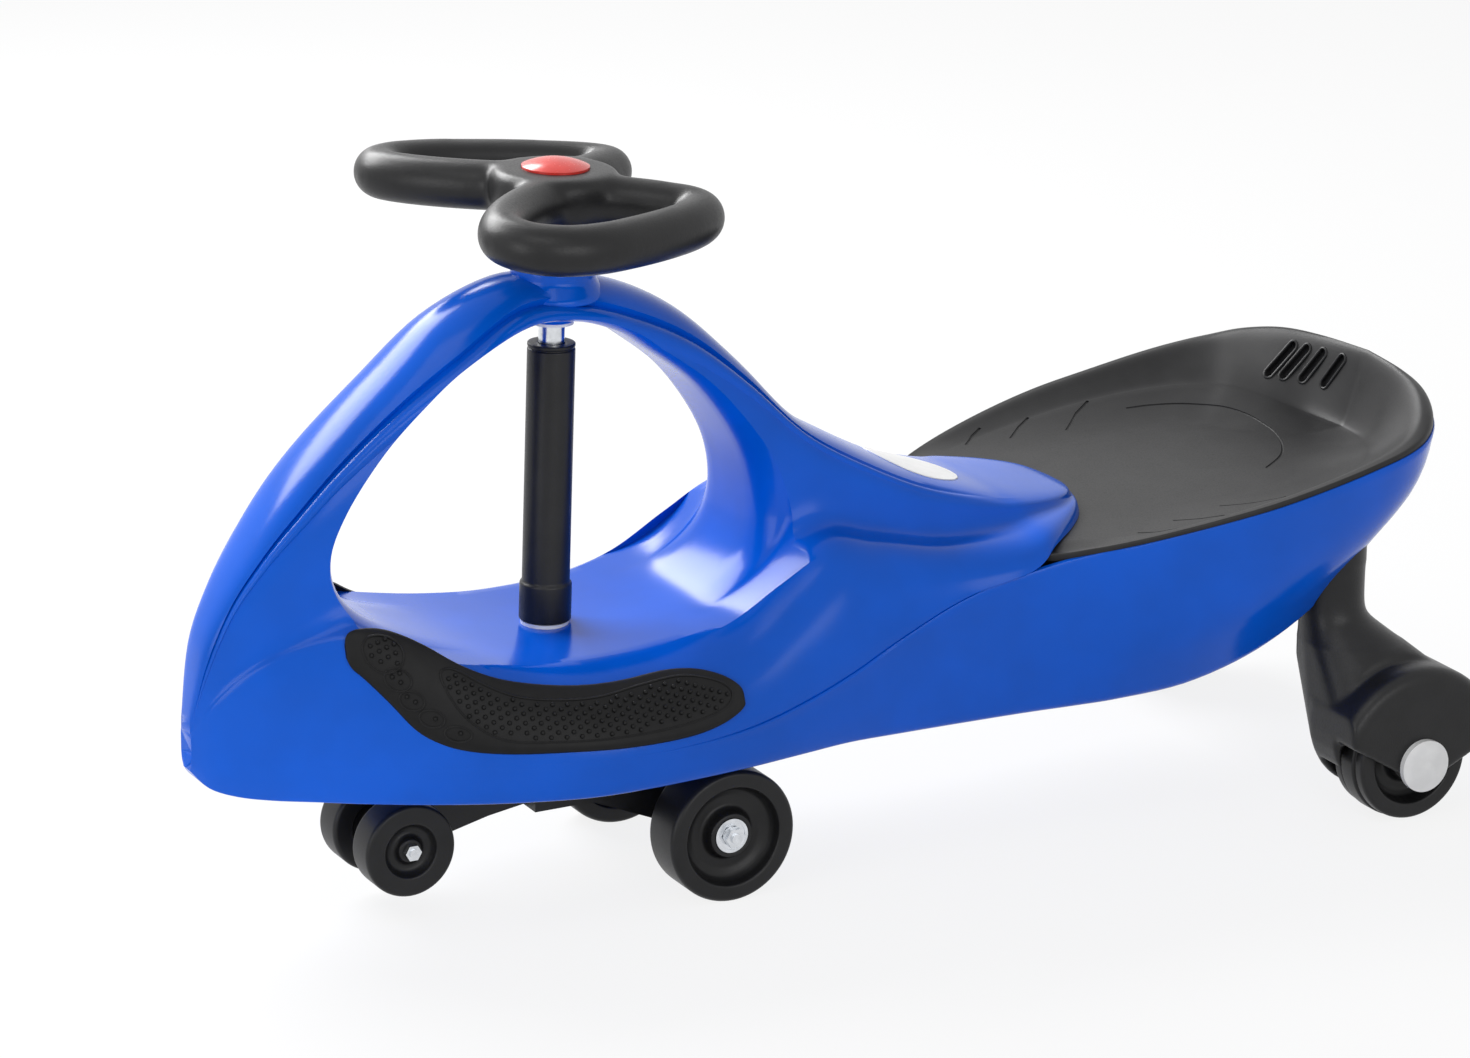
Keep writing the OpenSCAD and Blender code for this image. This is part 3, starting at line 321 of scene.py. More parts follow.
def smooth_plastic(name, light_hex, dark_hex, rough):
    # Smooth injection-moulded plastic: even colour and a small sharp highlight.
    material, tree, shader = new_material(name, light_hex, IOR=1.49, Coat_Weight=0.3, Coat_Roughness=0.08)
    coords = add(tree, "ShaderNodeTexCoord").outputs["Object"]
    tinted(tree, shader, light_hex, dark_hex, 9, coords)
    swirl = noise(tree, coords, 1.5, 2.0)
    bumped(tree, shader, swirl, 0.02, 0.2)
    rough_range(tree, shader, swirl, rough, rough + 0.08)
    return material


def zinc_steel(name, light_hex, dark_hex, rough):
    # Bright zinc-plated steel: clear reflections with a fine drawn grain.
    material, tree, shader = new_material(name, light_hex, Metallic=1.0)
    coords = add(tree, "ShaderNodeTexCoord").outputs["Object"]
    tinted(tree, shader, light_hex, dark_hex, 5, coords)
    lines = noise(tree, coords, 0.5, 3.0)
    bumped(tree, shader, lines, 0.02, 0.25)
    rough_range(tree, shader, lines, rough, rough + 0.12)
    return material


MATERIALS = {
    "blue_shell": blue_polypropylene(),
    "seat_plastic": grained_black_plastic("seat_grained_polypropylene", "#202021", "#1a1a1b",
                                          0.36, 0.5, 0.8, 0.05),
    "black_plastic": grained_black_plastic("black_grained_polypropylene", "#1e1e1f", "#19191a",
                                           0.3, 0.46, 1.0, 0.09),
    "wheel_plastic": grained_black_plastic("black_wheel_polypropylene", "#1c1c1d", "#171718",
                                           0.34, 0.46, 0.6, 0.03),
    "pad_rubber": foot_rubber(),
    "white_plastic": smooth_plastic("white_moulded_plastic", "#f1f1f0", "#e9e9e8", 0.3),
    "red_cap": smooth_plastic("red_moulded_cap", "#e0352b", "#d42e25", 0.22),
    "plug_steel": zinc_steel("turned_steel_plug", "#b9bcc0", "#a9acb0", 0.3),
    "steel": zinc_steel("zinc_plated_steel", "#dfe2e6", "#cfd2d6", 0.16),
}


def dress_cad_nodes():
    """Every CAD node that stays in sight takes the material of its slot."""
    for part in frame["record"]["subparts"]:
        mesh = nodes[part["node"]].data
        mesh.materials.clear()
        mesh.materials.append(MATERIALS[part["material_slot"]])


def between(a, b, c, d, f):
    """Point at f between b and c on a smooth curve through four points."""
    return b + ((c - a) / 2 + ((a - b * 2.5 + c * 2 - d / 2) + (d - a + (b - c) * 3) * (f / 2)) * f) * f


def along(rows, t):
    """Row at t on a smooth open curve through the rows."""
    i = max(0, min(int(t), len(rows) - 2))
    return between(*(rows[max(0, min(len(rows) - 1, k))] for k in (i - 1, i, i + 1, i + 2)), t - i)


def round_path(points, per):
    """Smooth closed curve through the points, with the given number of steps between neighbours."""
    n = len(points)
    return [between(points[k - 1], points[k], points[(k + 1) % n], points[(k + 2) % n], f / per)
            for k in range(n) for f in range(per)]


def spline(ctrl, v):
    """Point at v (0 to 1) on a clamped quadratic spline."""
    n = len(ctrl) - 2
    s = min(max(v, 0) * n, n - 1e-6)
    i = int(s)
    f = s - i
    a = ctrl[0] if i == 0 else (ctrl[i] + ctrl[i + 1]) / 2
    c = ctrl[n + 1] if i == n - 1 else (ctrl[i + 1] + ctrl[i + 2]) / 2
    return a * (1 - f) ** 2 + ctrl[i + 1] * (2 * f * (1 - f)) + c * f * f


def upper_outer(s, v):
    """Outside of the upper shell at a station, from the parting edge (0) to the middle (1), as (y, z)."""
    x, yc, zc, yd, zd, ya, zt, ys = s[:8]
    return spline([Vector(p) for p in (
        (yc, zc), (yc - 0.06 * (yc - yd), zc + 0.42 * (zd - zc)),
        (yd + 0.42 * (yc - yd), zd - 0.04 * (zd - zc)), (ya + 0.35 * (yd - ya), zd + 0.02 * (zt - zd)),
        (ya, zd + 0.3 * (zt - zd)), (ya * 0.96, zt - 0.22 * (zt - zd)), (ys, zt), (0, zt))], v)


def upper_inner(s, v):
    """Inside of the upper shell at a station."""
    x, yc, zc, yd, zd = s[:5]
    zi = max(zd - min(DECK_THICK, 0.6 * (zd - zc)), pan_z(x) + 0.4 if x < -38 else 0)
    return spline([Vector(p) for p in (
        (yc - WALL, zc), (yc - WALL - 0.06 * (yc - yd), zc + 0.42 * (zi - zc)),
        (yd - WALL + 0.3 * (yc - yd), zi), (yd * 0.6, zi), (0, zi))], v)


def hull_outer(s, v):
    """Outside of the hull at a station, from the rim (0) to the middle of the underside (1)."""
    x, yr, zr, yb, zb = s
    h = zr - zb
    return spline([Vector(p) for p in (
        (yr, zr), (yr - 0.1 * (yr - yb), zr - 0.5 * h), (yb + 0.05 * (yr - yb), zb + 0.1 * h),
        (yb * 0.97, zb), (yb * 0.8, zb), (yb * 0.4, zb), (0, zb))], v)


def hull_inner(s, v):
    """Inside of the hull at a station."""
    x, yr, zr, yb, zb = s
    w = min(WALL, 0.6 * (zr - zb))
    e = min(WALL, yr * 0.4)
    h = zr - zb - w
    yi = yb * (1 - e / yr)
    return spline([Vector(p) for p in (
        (yr - e, zr), (yr - e - 0.1 * (yr - yb), zr - 0.5 * h), (yi + 0.05 * (yr - e - yi), zb + w + 0.1 * h),
        (yi * 0.97, zb + w), (yi * 0.8, zb + w), (yi * 0.4, zb + w), (0, zb + w))], v)


def deck_point(t, v):
    s = along(UPPER, t)
    y, z = upper_outer(s, v)
    return Vector((s[0], y, z))


def deck_frame(t, v):
    """Steps along the deck and across it for a unit of t and of v, and the direction off it."""
    run = (deck_point(t + 0.05, v) - deck_point(t - 0.05, v)) / 0.1
    rise = (deck_point(t, v + 0.01) - deck_point(t, v - 0.01)) / 0.02
    return run, rise, run.cross(rise).normalized()


def on_deck(t, v, lift):
    return deck_point(t, v) + deck_frame(t, v)[2] * lift


def both_sides(half):
    """A half section (y, z) from the left edge to the middle, and on to the right edge."""
    return half + [Vector((-p[0], p[1])) for p in reversed(half[:-1])]


def loft(rings, closed=False):
    """Solid skinned over rings of points: each ring is one closed loop, bridged to the next."""
    bm = bmesh.new()
    loops = []
    for ring in rings:
        verts = [bm.verts.new(p) for p in ring]
        loops.append([bm.edges.new((verts[i - 1], verts[i])) for i in range(len(verts))])
    pairs = list(zip(loops, loops[1:]))
    if closed:
        pairs.append((loops[-1], loops[0]))
    for one, other in pairs:
        bmesh.ops.bridge_loops(bm, edges=one + other)
    if not closed:
        for end in (loops[0], loops[-1]):
            bmesh.ops.contextual_create(bm, geom=end)
    bmesh.ops.recalc_face_normals(bm, faces=bm.faces)
    return bm


def lathe(profile, place, steps=96):
    """Solid of revolution about local z from (radius, height) points: a ring when they start off the axis."""
    bm = bmesh.new()
    verts = [bm.verts.new((r, 0, h)) for r, h in profile]
    edges = [bm.edges.new(pair) for pair in zip(verts, verts[1:])]
    if profile[0][0] > 0:
        edges.append(bm.edges.new((verts[-1], verts[0])))
    bmesh.ops.spin(bm, geom=verts + edges, axis=(0, 0, 1), cent=(0, 0, 0), angle=2 * math.pi, steps=steps,
                   use_merge=True)
    bmesh.ops.remove_doubles(bm, verts=bm.verts, dist=1e-4)
    bmesh.ops.transform(bm, matrix=place, verts=bm.verts)
    bmesh.ops.recalc_face_normals(bm, faces=bm.faces)
    return bm


def drum(r, low, high, place, steps=64):
    return lathe([(0, low), (r, low), (r, high), (0, high)], place, steps)


def rounded(points, radius, steps=4, closed=False):
    """Outline with every corner turned into a small bend."""
    points = [Vector(p) for p in points]
    n = len(points)
    out = []
    for i, p in enumerate(points):
        if not closed and i in (0, n - 1):
            out.append(p)
            continue
        a = points[i - 1] - p
        b = points[(i + 1) % n] - p
        start = p + a.normalized() * min(radius, 0.45 * a.length)
        end = p + b.normalized() * min(radius, 0.45 * b.length)
        for k in range(steps + 1):
            f = k / steps
            out.append(start * (1 - f) ** 2 + p * (2 * f * (1 - f)) + end * f * f)
    return out


def bead(path, normals, radius, closed=True, sides=8):
    """Thin round bead that follows a path on a surface."""
    n = len(path)
    rings = []
    for i in range(n):
        if closed:
            run = (path[(i + 1) % n] - path[i - 1]).normalized()
        else:
            run = (path[min(i + 1, n - 1)] - path[max(i - 1, 0)]).normalized()
        side = run.cross(normals[i]).normalized()
        off = side.cross(run)
        rings.append([path[i] + (off * math.cos(a) + side * math.sin(a)) * radius
                      for a in (2 * math.pi * k / sides for k in range(sides))])
    return loft(rings, closed)


def joined(parts):
    """All the meshes as one."""
    whole = bmesh.new()
    for bm in parts:
        mesh = bpy.data.meshes.new("joined")
        bm.to_mesh(mesh)
        bm.free()
        whole.from_mesh(mesh)
        bpy.data.meshes.remove(mesh)
    return whole


def mirrored(bm):
    """The same mesh on the other side of the middle plane."""
    other = bm.copy()
    bmesh.ops.scale(other, vec=(1, -1, 1), verts=other.verts)
    bmesh.ops.reverse_faces(other, faces=other.faces)
    return other


def holder(bm):
    mesh = bpy.data.meshes.new("holder")
    bm.to_mesh(mesh)
    bm.free()
    thing = bpy.data.objects.new("holder", mesh)
    bpy.context.scene.collection.objects.link(thing)
    return thing


def settled(thing, *others):
    """The mesh of an object with its modifiers done; the objects are removed."""
    graph = bpy.context.evaluated_depsgraph_get()
    mesh = bpy.data.meshes.new_from_object(thing.evaluated_get(graph))
    bm = bmesh.new()
    bm.from_mesh(mesh)
    bpy.data.meshes.remove(mesh)
    for old in (thing, *others):
        data = old.data
        bpy.data.objects.remove(old)
        bpy.data.meshes.remove(data)
    return bm


def combined(bm, tool, operation):
    """Boolean of two closed meshes."""
    base, other = holder(bm), holder(tool)
    step = base.modifiers.new("combine", "BOOLEAN")
    step.object = other
    step.operation = operation
    step.solver = "MANIFOLD"
    return settled(base, other)


def fused(bm, voxel):
    """Overlapping solids melted into one even skin."""
    base = holder(bm)
    step = base.modifiers.new("melt", "REMESH")
    step.mode = "VOXEL"
    step.voxel_size = voxel
    return settled(base)


def softened(bm, rounds, where=None):
    """Rounds off inner and outer corners, on the whole mesh or where a test on the place says so."""
    verts = [v for v in bm.verts if where is None or where(v.co)]
    for _ in range(rounds):
        bmesh.ops.smooth_vert(bm, verts=verts, factor=0.5, use_axis_x=True, use_axis_y=True, use_axis_z=True)
    return bm


def finish_piece(bm, name, slot, body, *replaced, sharp=32):
    """Makes the mesh, still in millimetres, an object that rides on a body and stands for CAD nodes."""
    limit = math.radians(sharp)
    bmesh.ops.scale(bm, vec=(MM, MM, MM), verts=bm.verts)
    for face in bm.faces:
        face.smooth = True
    for edge in bm.edges:
        edge.smooth = len(edge.link_faces) == 2 and edge.calc_face_angle(0) < limit
    mesh = bpy.data.meshes.new(name)
    bm.to_mesh(mesh)
    bm.free()
    piece = bpy.data.objects.new(name, mesh)
    bpy.context.scene.collection.objects.link(piece)
    mesh.materials.append(MATERIALS[slot])
    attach(piece, body)
    if replaced:
        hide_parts(*replaced)
    return piece


def cad_copy(node):
    """The CAD node's triangles as one joined mesh, in millimetres."""
    bm = bmesh.new()
    bm.from_mesh(nodes[node].data)
    bmesh.ops.scale(bm, vec=(1 / MM, 1 / MM, 1 / MM), verts=bm.verts)
    bmesh.ops.remove_doubles(bm, verts=bm.verts, dist=1e-3)
    return bm


def end_shift(t, last):
    """How far the inside of a shell is moved in along x near its two ends."""
    if t < 2:
        return -WALL * (1 - t / 2)
    return WALL * (1 - (last - t) / 2) if t > last - 2 else 0


def shell_rings(rows, per, places, inner_places, outer_at, inner_at):
    """Closed sections of a thin shell, with the outside as given and a plain inside."""
    last = len(rows) - 1
    rings = []
    for k in range(last * per + 1):
        t = k / per
        s = along(rows, t)
        half = [outer_at(s, v) for v in places]
        half[-1].x = 0
        outer = [Vector((s[0], p[0], p[1])) for p in both_sides(half)]
        # the inside closes up at both ends, so that the nose and the tail have no hole
        width = CLOSED_END if k in (0, last * per) else 1
        inner = [Vector((s[0] + end_shift(t, last), p[0] * width, p[1]))
                 for p in both_sides([inner_at(s, v) for v in inner_places])]
        rings.append(outer + inner[::-1])
    return rings


def parting_shows(x):
    """1 behind the foot pads, where the shells' parting line shows, and 0 at the nose, where it is flush."""
    return max(0, min(1, (FLUSH_X - x) / FLUSH_FADE))


def upper_skin():
    """Upper shell before its window and bosses, with the groove and the ledge beside the spine band."""
    groove_v, groove_half, edge = 0.79, 0.013, 0.008
    ledge_v, ledge_half, ledge_rise = 0.756, 0.022, 0.7
    fine = [groove_v + groove_half * k for k in (-1, -0.6, -0.25, 0, 0.25, 0.6, 1)]
    fine += [ledge_v + ledge_half * k for k in (-1, -0.75, -0.5, -0.25, 0, 0.25, 0.5)]
    coarse = [k / 40 for k in range(1, 41)]
    places = [v for v in coarse if not ledge_v - ledge_half < v < groove_v + groove_half]
    places = sorted([0, 0.003, edge] + places + fine)

    def outer_at(s, v):
        # the places are stretched so that the fine ones follow the groove along the hoop
        w = v * s[9] / groove_v if v < groove_v else 1 - (1 - v) * (1 - s[9]) / (1 - groove_v)
        point = upper_outer(s, w)
        run = upper_outer(s, min(1, w + 0.004)) - upper_outer(s, w - 0.004)
        inward = Vector((-run[1], run[0])).normalized()
        dip = max(0, 1 - abs(v - groove_v) / groove_half) ** 0.8
        dip -= ledge_rise * max(0, 1 - ((v - ledge_v) / ledge_half) ** 2)
        point += inward * (s[8] * dip)
        point[0] -= 0.8 * parting_shows(s[0]) * max(0, 1 - v / edge) ** 2
        return point
    return loft(shell_rings(UPPER, 6, places, [k / 14 for k in range(15)], outer_at, upper_inner))


def window_plug():
    """Solid that opens the window: it grows towards both sides, so that the hoop's edges come out round."""
    ring = round_path(WINDOW, 8)
    middle = Vector((STEER_X, 225))
    sides = [Vector(p) for p in ((70, 22), (46, 15), (39, 8.5), (33, 4), (26, 1), (18, 0))]
    half = [along(sides, k / 4) for k in range(4 * (len(sides) - 1) + 1)]
    levels = [(-p[0], p[1]) for p in half] + [(p[0], p[1]) for p in reversed(half)]
    rings = []
    for y, grow in levels:
        level = []
        for p in ring:
            lift = max(0, min(1, (p[1] - 150) / 50))
            g = p + (p - middle).normalized() * (grow * lift)
            level.append(Vector((g[0], y, g[1])))
        rings.append(level)
    return loft(rings)


def upper_shell():
    bm = combined(upper_skin(), window_plug(), "DIFFERENCE")
    foot = HOOP_TOP - 7
    collar = rounded([(0, COLLAR_TOP), (COLLAR_R, COLLAR_TOP), (COLLAR_R, HOOP_TOP + 3.5),
                      (COLLAR_R + 5, HOOP_TOP - 4), (COLLAR_R + 5, foot), (0, foot)], 2, 5)
    boss = rounded([(0, HOOP_LOW), (BOSS_R - 1.5, HOOP_LOW), (BOSS_R, HOOP_LOW + 2), (BOSS_R, HOOP_LOW + 12),
                    (0, HOOP_LOW + 12)], 0.8)
    for profile in (collar, boss):
        bm = combined(bm, lathe(profile, COLUMN), "UNION")
    for hole in (drum(BUSH_R, HOOP_LOW - 2, COLLAR_TOP + 9, COLUMN),
                 drum(BUSH_R, DECK_Z - 40, DECK_Z + 6, COLUMN),
                 drum(BUSH_R + 3.2, DECK_Z, DECK_Z + 8, COLUMN)):
        bm = combined(bm, hole, "DIFFERENCE")
    finish_piece(bm, "upper_shell_moulding", "blue_shell", "body", "upper_shell")


def lower_shell():
    lip_top, lip_low = 0.006, 0.034
    places = [0, lip_top, 0.014, 0.022, lip_low] + [0.06 + 0.94 * k / 30 for k in range(31)]

    def outer_at(s, v):
        y, z = hull_outer(s, v)
        lip = 0.9 * parting_shows(s[0]) * min(1, v / lip_top) * max(0, 1 - v / lip_low) * min(1, s[1] / 30)
        return Vector((y + lip, z))
    bm = loft(shell_rings(LOWER, 5, places, [k / 12 for k in range(13)], outer_at, hull_inner))
    holes = [drum(BUSH_R + 10, KEEL_Z - 8, KEEL_Z + 22, COLUMN)]
    for side in (-1, 1):
        holes.append(drum(LEG_STEM_R + 0.3, KEEL_Z, SOCKET_TOP, Matrix.Translation((LEG_X, side * LEG_Y, 0))))
        holes += [drum(SCREW_HEAD_R + 0.2, KEEL_Z - 4, KEEL_Z + 8, Matrix.Translation((x, side * y, 0)), 32)
                  for x, y in SCREW_PLACES]
    for hole in holes:
        bm = combined(bm, hole, "DIFFERENCE")
    finish_piece(bm, "lower_shell_moulding", "blue_shell", "body", "lower_shell")


def tray_profile(s):
    """Top of the tray at one place: edge (share 0), wall to its foot (1), dished part to the flat pan (2)."""
    edge, foot = Vector((s[0], s[1])), Vector((s[3], s[4]))
    ez, rise, fz = s[2], s[5], pan_z(s[3]) + s[6]
    drop = ez + rise - fz
    ctrl = [Vector(c) for c in (
        (0, ez - 1.2), (0, ez + 0.4 + 0.35 * rise), (0.08, ez + rise + 0.3), (0.24, ez + rise + 0.1),
        (0.5, fz + 0.56 * drop), (0.78, fz + 0.17 * drop), (0.94, fz + 0.01 * drop), (1, fz))]
    out = []
    for k in range(33):
        f, z = spline(ctrl, k / 32)
        p = edge.lerp(foot, f)
        out.append((Vector((p[0], p[1], z)), f))
    for k in range(1, 11):
        g = 1 - (1 - FLAT_SHARE) * k / 10
        x = FLAT_X + g * (s[3] - FLAT_X)
        out.append((Vector((x, g * s[4], pan_z(x) + s[6] * (1 - k / 10) ** 1.5)), 1 + k / 10))
    return out


def tray_rings(tops, low, high):
    """Closed rings from the underside round the edge to the top; low gives the depth of the underside."""
    count = len(tops[0])
    under = [[top[k][0] - UP * low(top[k][1]) for top in tops] for k in reversed(range(count))]
    return under + [[top[k][0] + UP * high for top in tops] for k in range(count)]


def slot_place(t):
    """Frame of a slot in the back wall: local x points out through the wall."""
    s = along(TRAY, t)
    run = along(TRAY, t + 0.1) - along(TRAY, t - 0.1)
    at = Vector((s[0], s[1])).lerp(Vector((s[3], s[4])), SLOT_SHARE)
    return (Matrix.Translation((at[0], at[1], pan_z(at[0]) + SLOT_RISE))
            @ Matrix.Rotation(math.atan2(-run[0], run[1]), 4, "Z") @ Matrix.Rotation(SLOT_SLANT, 4, "X"))


def slot_outline(widen):
    r = SLOT_W / 2 + widen
    turns = [2 * math.pi * (k + 0.5) / 32 for k in range(32)]
    return [(r * math.cos(a), math.copysign(SLOT_H / 2, math.sin(a)) + r * math.sin(a)) for a in turns]


def projected(tree, points, way):
    """Places where lines through the points meet the surface, and the surface's directions there."""
    hits = [tree.ray_cast(p, way) for p in points]
    return [hit[0] for hit in hits], [hit[1] for hit in hits]


def dense(points, step):
    """A line through the points, cut into short steps."""
    out = [Vector(points[0])]
    for a, b in zip(points, points[1:]):
        a, b = Vector(a), Vector(b)
        count = max(1, round((b - a).length / step))
        out += [a.lerp(b, k / count) for k in range(1, count + 1)]
    return out


def seat_tray():
    per, pocket = 8, 6.5
    half = [along(TRAY, k / per) for k in range(per * (len(TRAY) - 1) + 1)]
    half[0][1] = half[0][4] = half[-1][1] = half[-1][4] = 0
    whole = half + [Vector((s[0], -s[1], s[2], s[3], -s[4], *s[5:])) for s in reversed(half[1:-1])]
    tops = [tray_profile(s) for s in whole]

    # the back wall is backed, so that the slots are dark pockets as the space behind the real ones is
    def depth(f):
        return TRAY_WALL + 7 * max(0, min(1, (f - 0.1) / 0.2, (0.97 - f) / 0.1))
    bm = loft(tray_rings(tops, depth, 0))
    tree = BVHTree.FromBMesh(bm)
    above = loft(tray_rings(tops, lambda f: min(pocket, depth(f) - 1), 60))
    cuts = []
    lines = [dense(mark, 4) for mark in CHEVRONS]
    lines += [dense([(x, -y) for x, y in mark], 4) for mark in CHEVRONS]
    lines.append([along([Vector(p) for p in SEAT_ARC], k / 4) for k in range(4 * (len(SEAT_ARC) - 1) + 1)])
    for line in lines:
        path, normals = projected(tree, [Vector((x, y, 300)) for x, y in line], -UP)
        cuts.append(bead(path, normals, 0.8, closed=False))
    rims = []
    for t in SLOT_PLACES:
        place = slot_place(t)
        bar = loft([[place @ Vector((x, y, z)) for y, z in slot_outline(0)] for x in (-22, 30)])
        bar = combined(bar, above.copy(), "INTERSECT")
        out = place.to_3x3() @ Vector((1, 0, 0))
        rim = bead(*projected(tree, [place @ Vector((-22, y, z)) for y, z in slot_outline(0.5)], out), 0.8)
        cuts.append(mirrored(bar))
        rims.append(mirrored(rim))
        bar.free()
        rim.free()
    above.free()
    for cut in cuts:
        bm = combined(bm, cut, "DIFFERENCE")
    finish_piece(joined([bm] + rims), "seat_tray_moulding", "seat_plastic", "body", "seat_tray")


def inside(point, outline):
    """Whether a place lies in a closed outline."""
    hit = False
    for a, b in zip(outline, outline[1:] + outline[:1]):
        if (a[1] > point[1]) != (b[1] > point[1]):
            cross = (b[0] - a[0]) * (point[1] - a[1]) / (b[1] - a[1]) + a[0]
            hit = hit != (point[0] < cross)
    return hit


def dots_in(outline, bm):
    """Fills an outline on the deck with rows of raised dots."""
    low_t, high_t = min(p[0] for p in outline), max(p[0] for p in outline)
    low_v, high_v = min(p[1] for p in outline), max(p[1] for p in outline)
    t = low_t
    odd = 0
    while t < high_t:
        run, rise, _ = deck_frame(t, (low_v + high_v) / 2)
        dt = DOT_STEP * 0.87 / run.length
        dv = DOT_STEP / rise.length
        v = low_v + dv * (0.5 if odd else 0)
        while v < high_v:
            if all(inside((t + i * dt * 0.45, v + j * dv * 0.45), outline)
                   for i, j in ((1, 0), (-1, 0), (0, 1), (0, -1))):
                at = Matrix.Translation(on_deck(t, v, PAD_RISE + 0.3))
                bmesh.ops.create_uvsphere(bm, u_segments=8, v_segments=5, radius=DOT_R, matrix=at)
            v += dv
        t += dt
        odd = 1 - odd


def foot_pads():
    rows = [along(PAD, k / 4) for k in range(4 * (len(PAD) - 1) + 1)]
    across = (0, 0.02, 0.05, 0.1, 0.2, 0.35, 0.5, 0.65, 0.8, 0.9, 0.95, 0.98, 1)
    lift = (0, 0.6, 0.9, 1, 1, 1, 1, 1, 1, 1, 0.9, 0.6, 0)
    rings = []
    for i, (t, low, high) in enumerate(rows):
        end = min(1, (min(i, len(rows) - 1 - i) + 0.3) / 2.5)
        top = [on_deck(t, low + (high - low) * f, PAD_RISE * up * end) for f, up in zip(across, lift)]
        foot = [on_deck(t, low + (high - low) * f, -0.4) for f in (1, 0.8, 0.6, 0.4, 0.2, 0)]
        rings.append(top + foot)
    outlines = [round_path(PAD_FIELD, 8)]
    for t, v, a, b in PAD_TOES:
        run, rise, _ = deck_frame(t, v)
        outlines.append([Vector((t + a / run.length * math.cos(q), v + b / rise.length * math.sin(q)))
                         for q in (2 * math.pi * k / 32 for k in range(32))])
    dots = bmesh.new()
    parts = [loft(rings), dots]
    for outline in outlines:
        dots_in(outline, dots)
        path = [on_deck(t, v, PAD_RISE + 0.1) for t, v in outline]
        parts.append(bead(path, [deck_frame(t, v)[2] for t, v in outline], 0.65, sides=6))
    left = joined(parts)
    right = mirrored(left)
    finish_piece(left, "left_foot_pad_moulding", "pad_rubber", "body", "left_foot_pad", sharp=40)
    finish_piece(right, "right_foot_pad_moulding", "pad_rubber", "body", "right_foot_pad", sharp=40)


def spine_height(x, y):
    """Height of the spine over a place, found along the stations and then round the section."""
    low, high = 13.0, 18.0
    for _ in range(40):
        t = (low + high) / 2
        low, high = (t, high) if along(UPPER, t)[0] > x else (low, t)
    s = along(UPPER, low)
    a, b = 0.6, 1.0
    for _ in range(40):
        v = (a + b) / 2
        a, b = (v, b) if upper_outer(s, v)[0] > y else (a, v)
    return upper_outer(s, a)[1]


def badge():
    """Plain round badge on the spine in front of the seat, bare of any mark."""
    levels = [(0.08, -1.2), (1, -1.2), (1, 0.2), (0.99, 0.5)]
    levels += [(share, 0.55) for share in (0.8, 0.6, 0.4, 0.2, 0.08)]
    rings = []
    for share, lift in levels:
        ring = []
        for k in range(72):
            a = 2 * math.pi * k / 72
            x, y = BADGE_X + share * BADGE_R * math.cos(a), share * BADGE_R * math.sin(a)
            ring.append(Vector((x, y, spine_height(x, abs(y)) + lift)))
        rings.append(ring)
    finish_piece(loft(rings), "spine_badge", "white_plastic", "body")


def grip_loop(radius):
    """Grip tube swept round its line."""
    line = round_path(GRIP_LINE, 6)
    rings = []
    for i, p in enumerate(line):
        run = (line[(i + 1) % len(line)] - line[i - 1]).normalized()
        side = Vector((run[1], -run[0]))
        ring = []
        for b in (2 * math.pi * k / 28 for k in range(28)):
            q = p + side * (radius * math.cos(b))
            ring.append(Vector((q[0], q[1], radius * math.sin(b))))
        rings.append(ring)
    bm = loft(rings, closed=True)
    place = (COLUMN @ Matrix.Translation((0, 0, GRIP_Z)) @ Matrix.Rotation(-GRIP_TILT, 4, "Y")
             @ Matrix.Rotation(-GRIP_DROOP, 4, "X"))
    bmesh.ops.transform(bm, matrix=place, verts=bm.verts)
    return bm


def steering_wheel():
    h = HUB_TOP - HUB_LOW
    outline = ((0, 0), (20.5, 0), (20.5, 0.2), (23, 0.36), (30, 0.5), (34, 0.64), (34.5, 0.84), (33.5, 0.96),
               (31, 1.01), (0, 1.01))
    hub = lathe([(r, HUB_LOW + h * share) for r, share in outline], COLUMN)
    # the tube starts a little thick, because softening the corners also thins it
    left = grip_loop(GRIP_R + 0.9)
    bm = softened(fused(joined([mirrored(left), left, hub]), 1.5), 22)
    bm = combined(bm, drum(CAP_R + 0.25, HUB_TOP - 3, HUB_TOP + 20, COLUMN), "DIFFERENCE")
    finish_piece(bm, "steering_wheel_moulding", "black_plastic", "steering", "steering_wheel", sharp=45)


def column_sleeve():
    low, top, r = SLEEVE_LOW, SLEEVE_TOP, SLEEVE_R
    bore = TUBE_R + 0.1
    profile = rounded([(bore, low), (r + 1.2, low), (r + 1.2, low + 20), (r, low + 21.4), (r, top - 3.2),
                       (r - 0.7, top - 2.8), (r - 0.7, top - 2.2), (r, top - 1.8), (r, top), (bore, top)],
                      0.7, 3, closed=True)
    finish_piece(lathe(profile, COLUMN), "column_sleeve_moulding", "black_plastic", "steering",
                 "column_sleeve", sharp=45)


def on_axle(x, y, z, side):
    """Places a wheel built about z on its axle, with its outer face to the given side."""
    return Matrix.Translation((x, side * y, z)) @ Matrix.Rotation(-side * math.pi / 2, 4, "X")


def wheel(name, place, body, node, half):
    """Moulded wheel from half its profile, bore to tread, with every corner softly rounded."""
    profile = rounded(half + [(r, -h) for r, h in reversed(half)], 1.3, 4, closed=True)
    finish_piece(lathe(profile, place), name, "wheel_plastic", body, node, sharp=45)


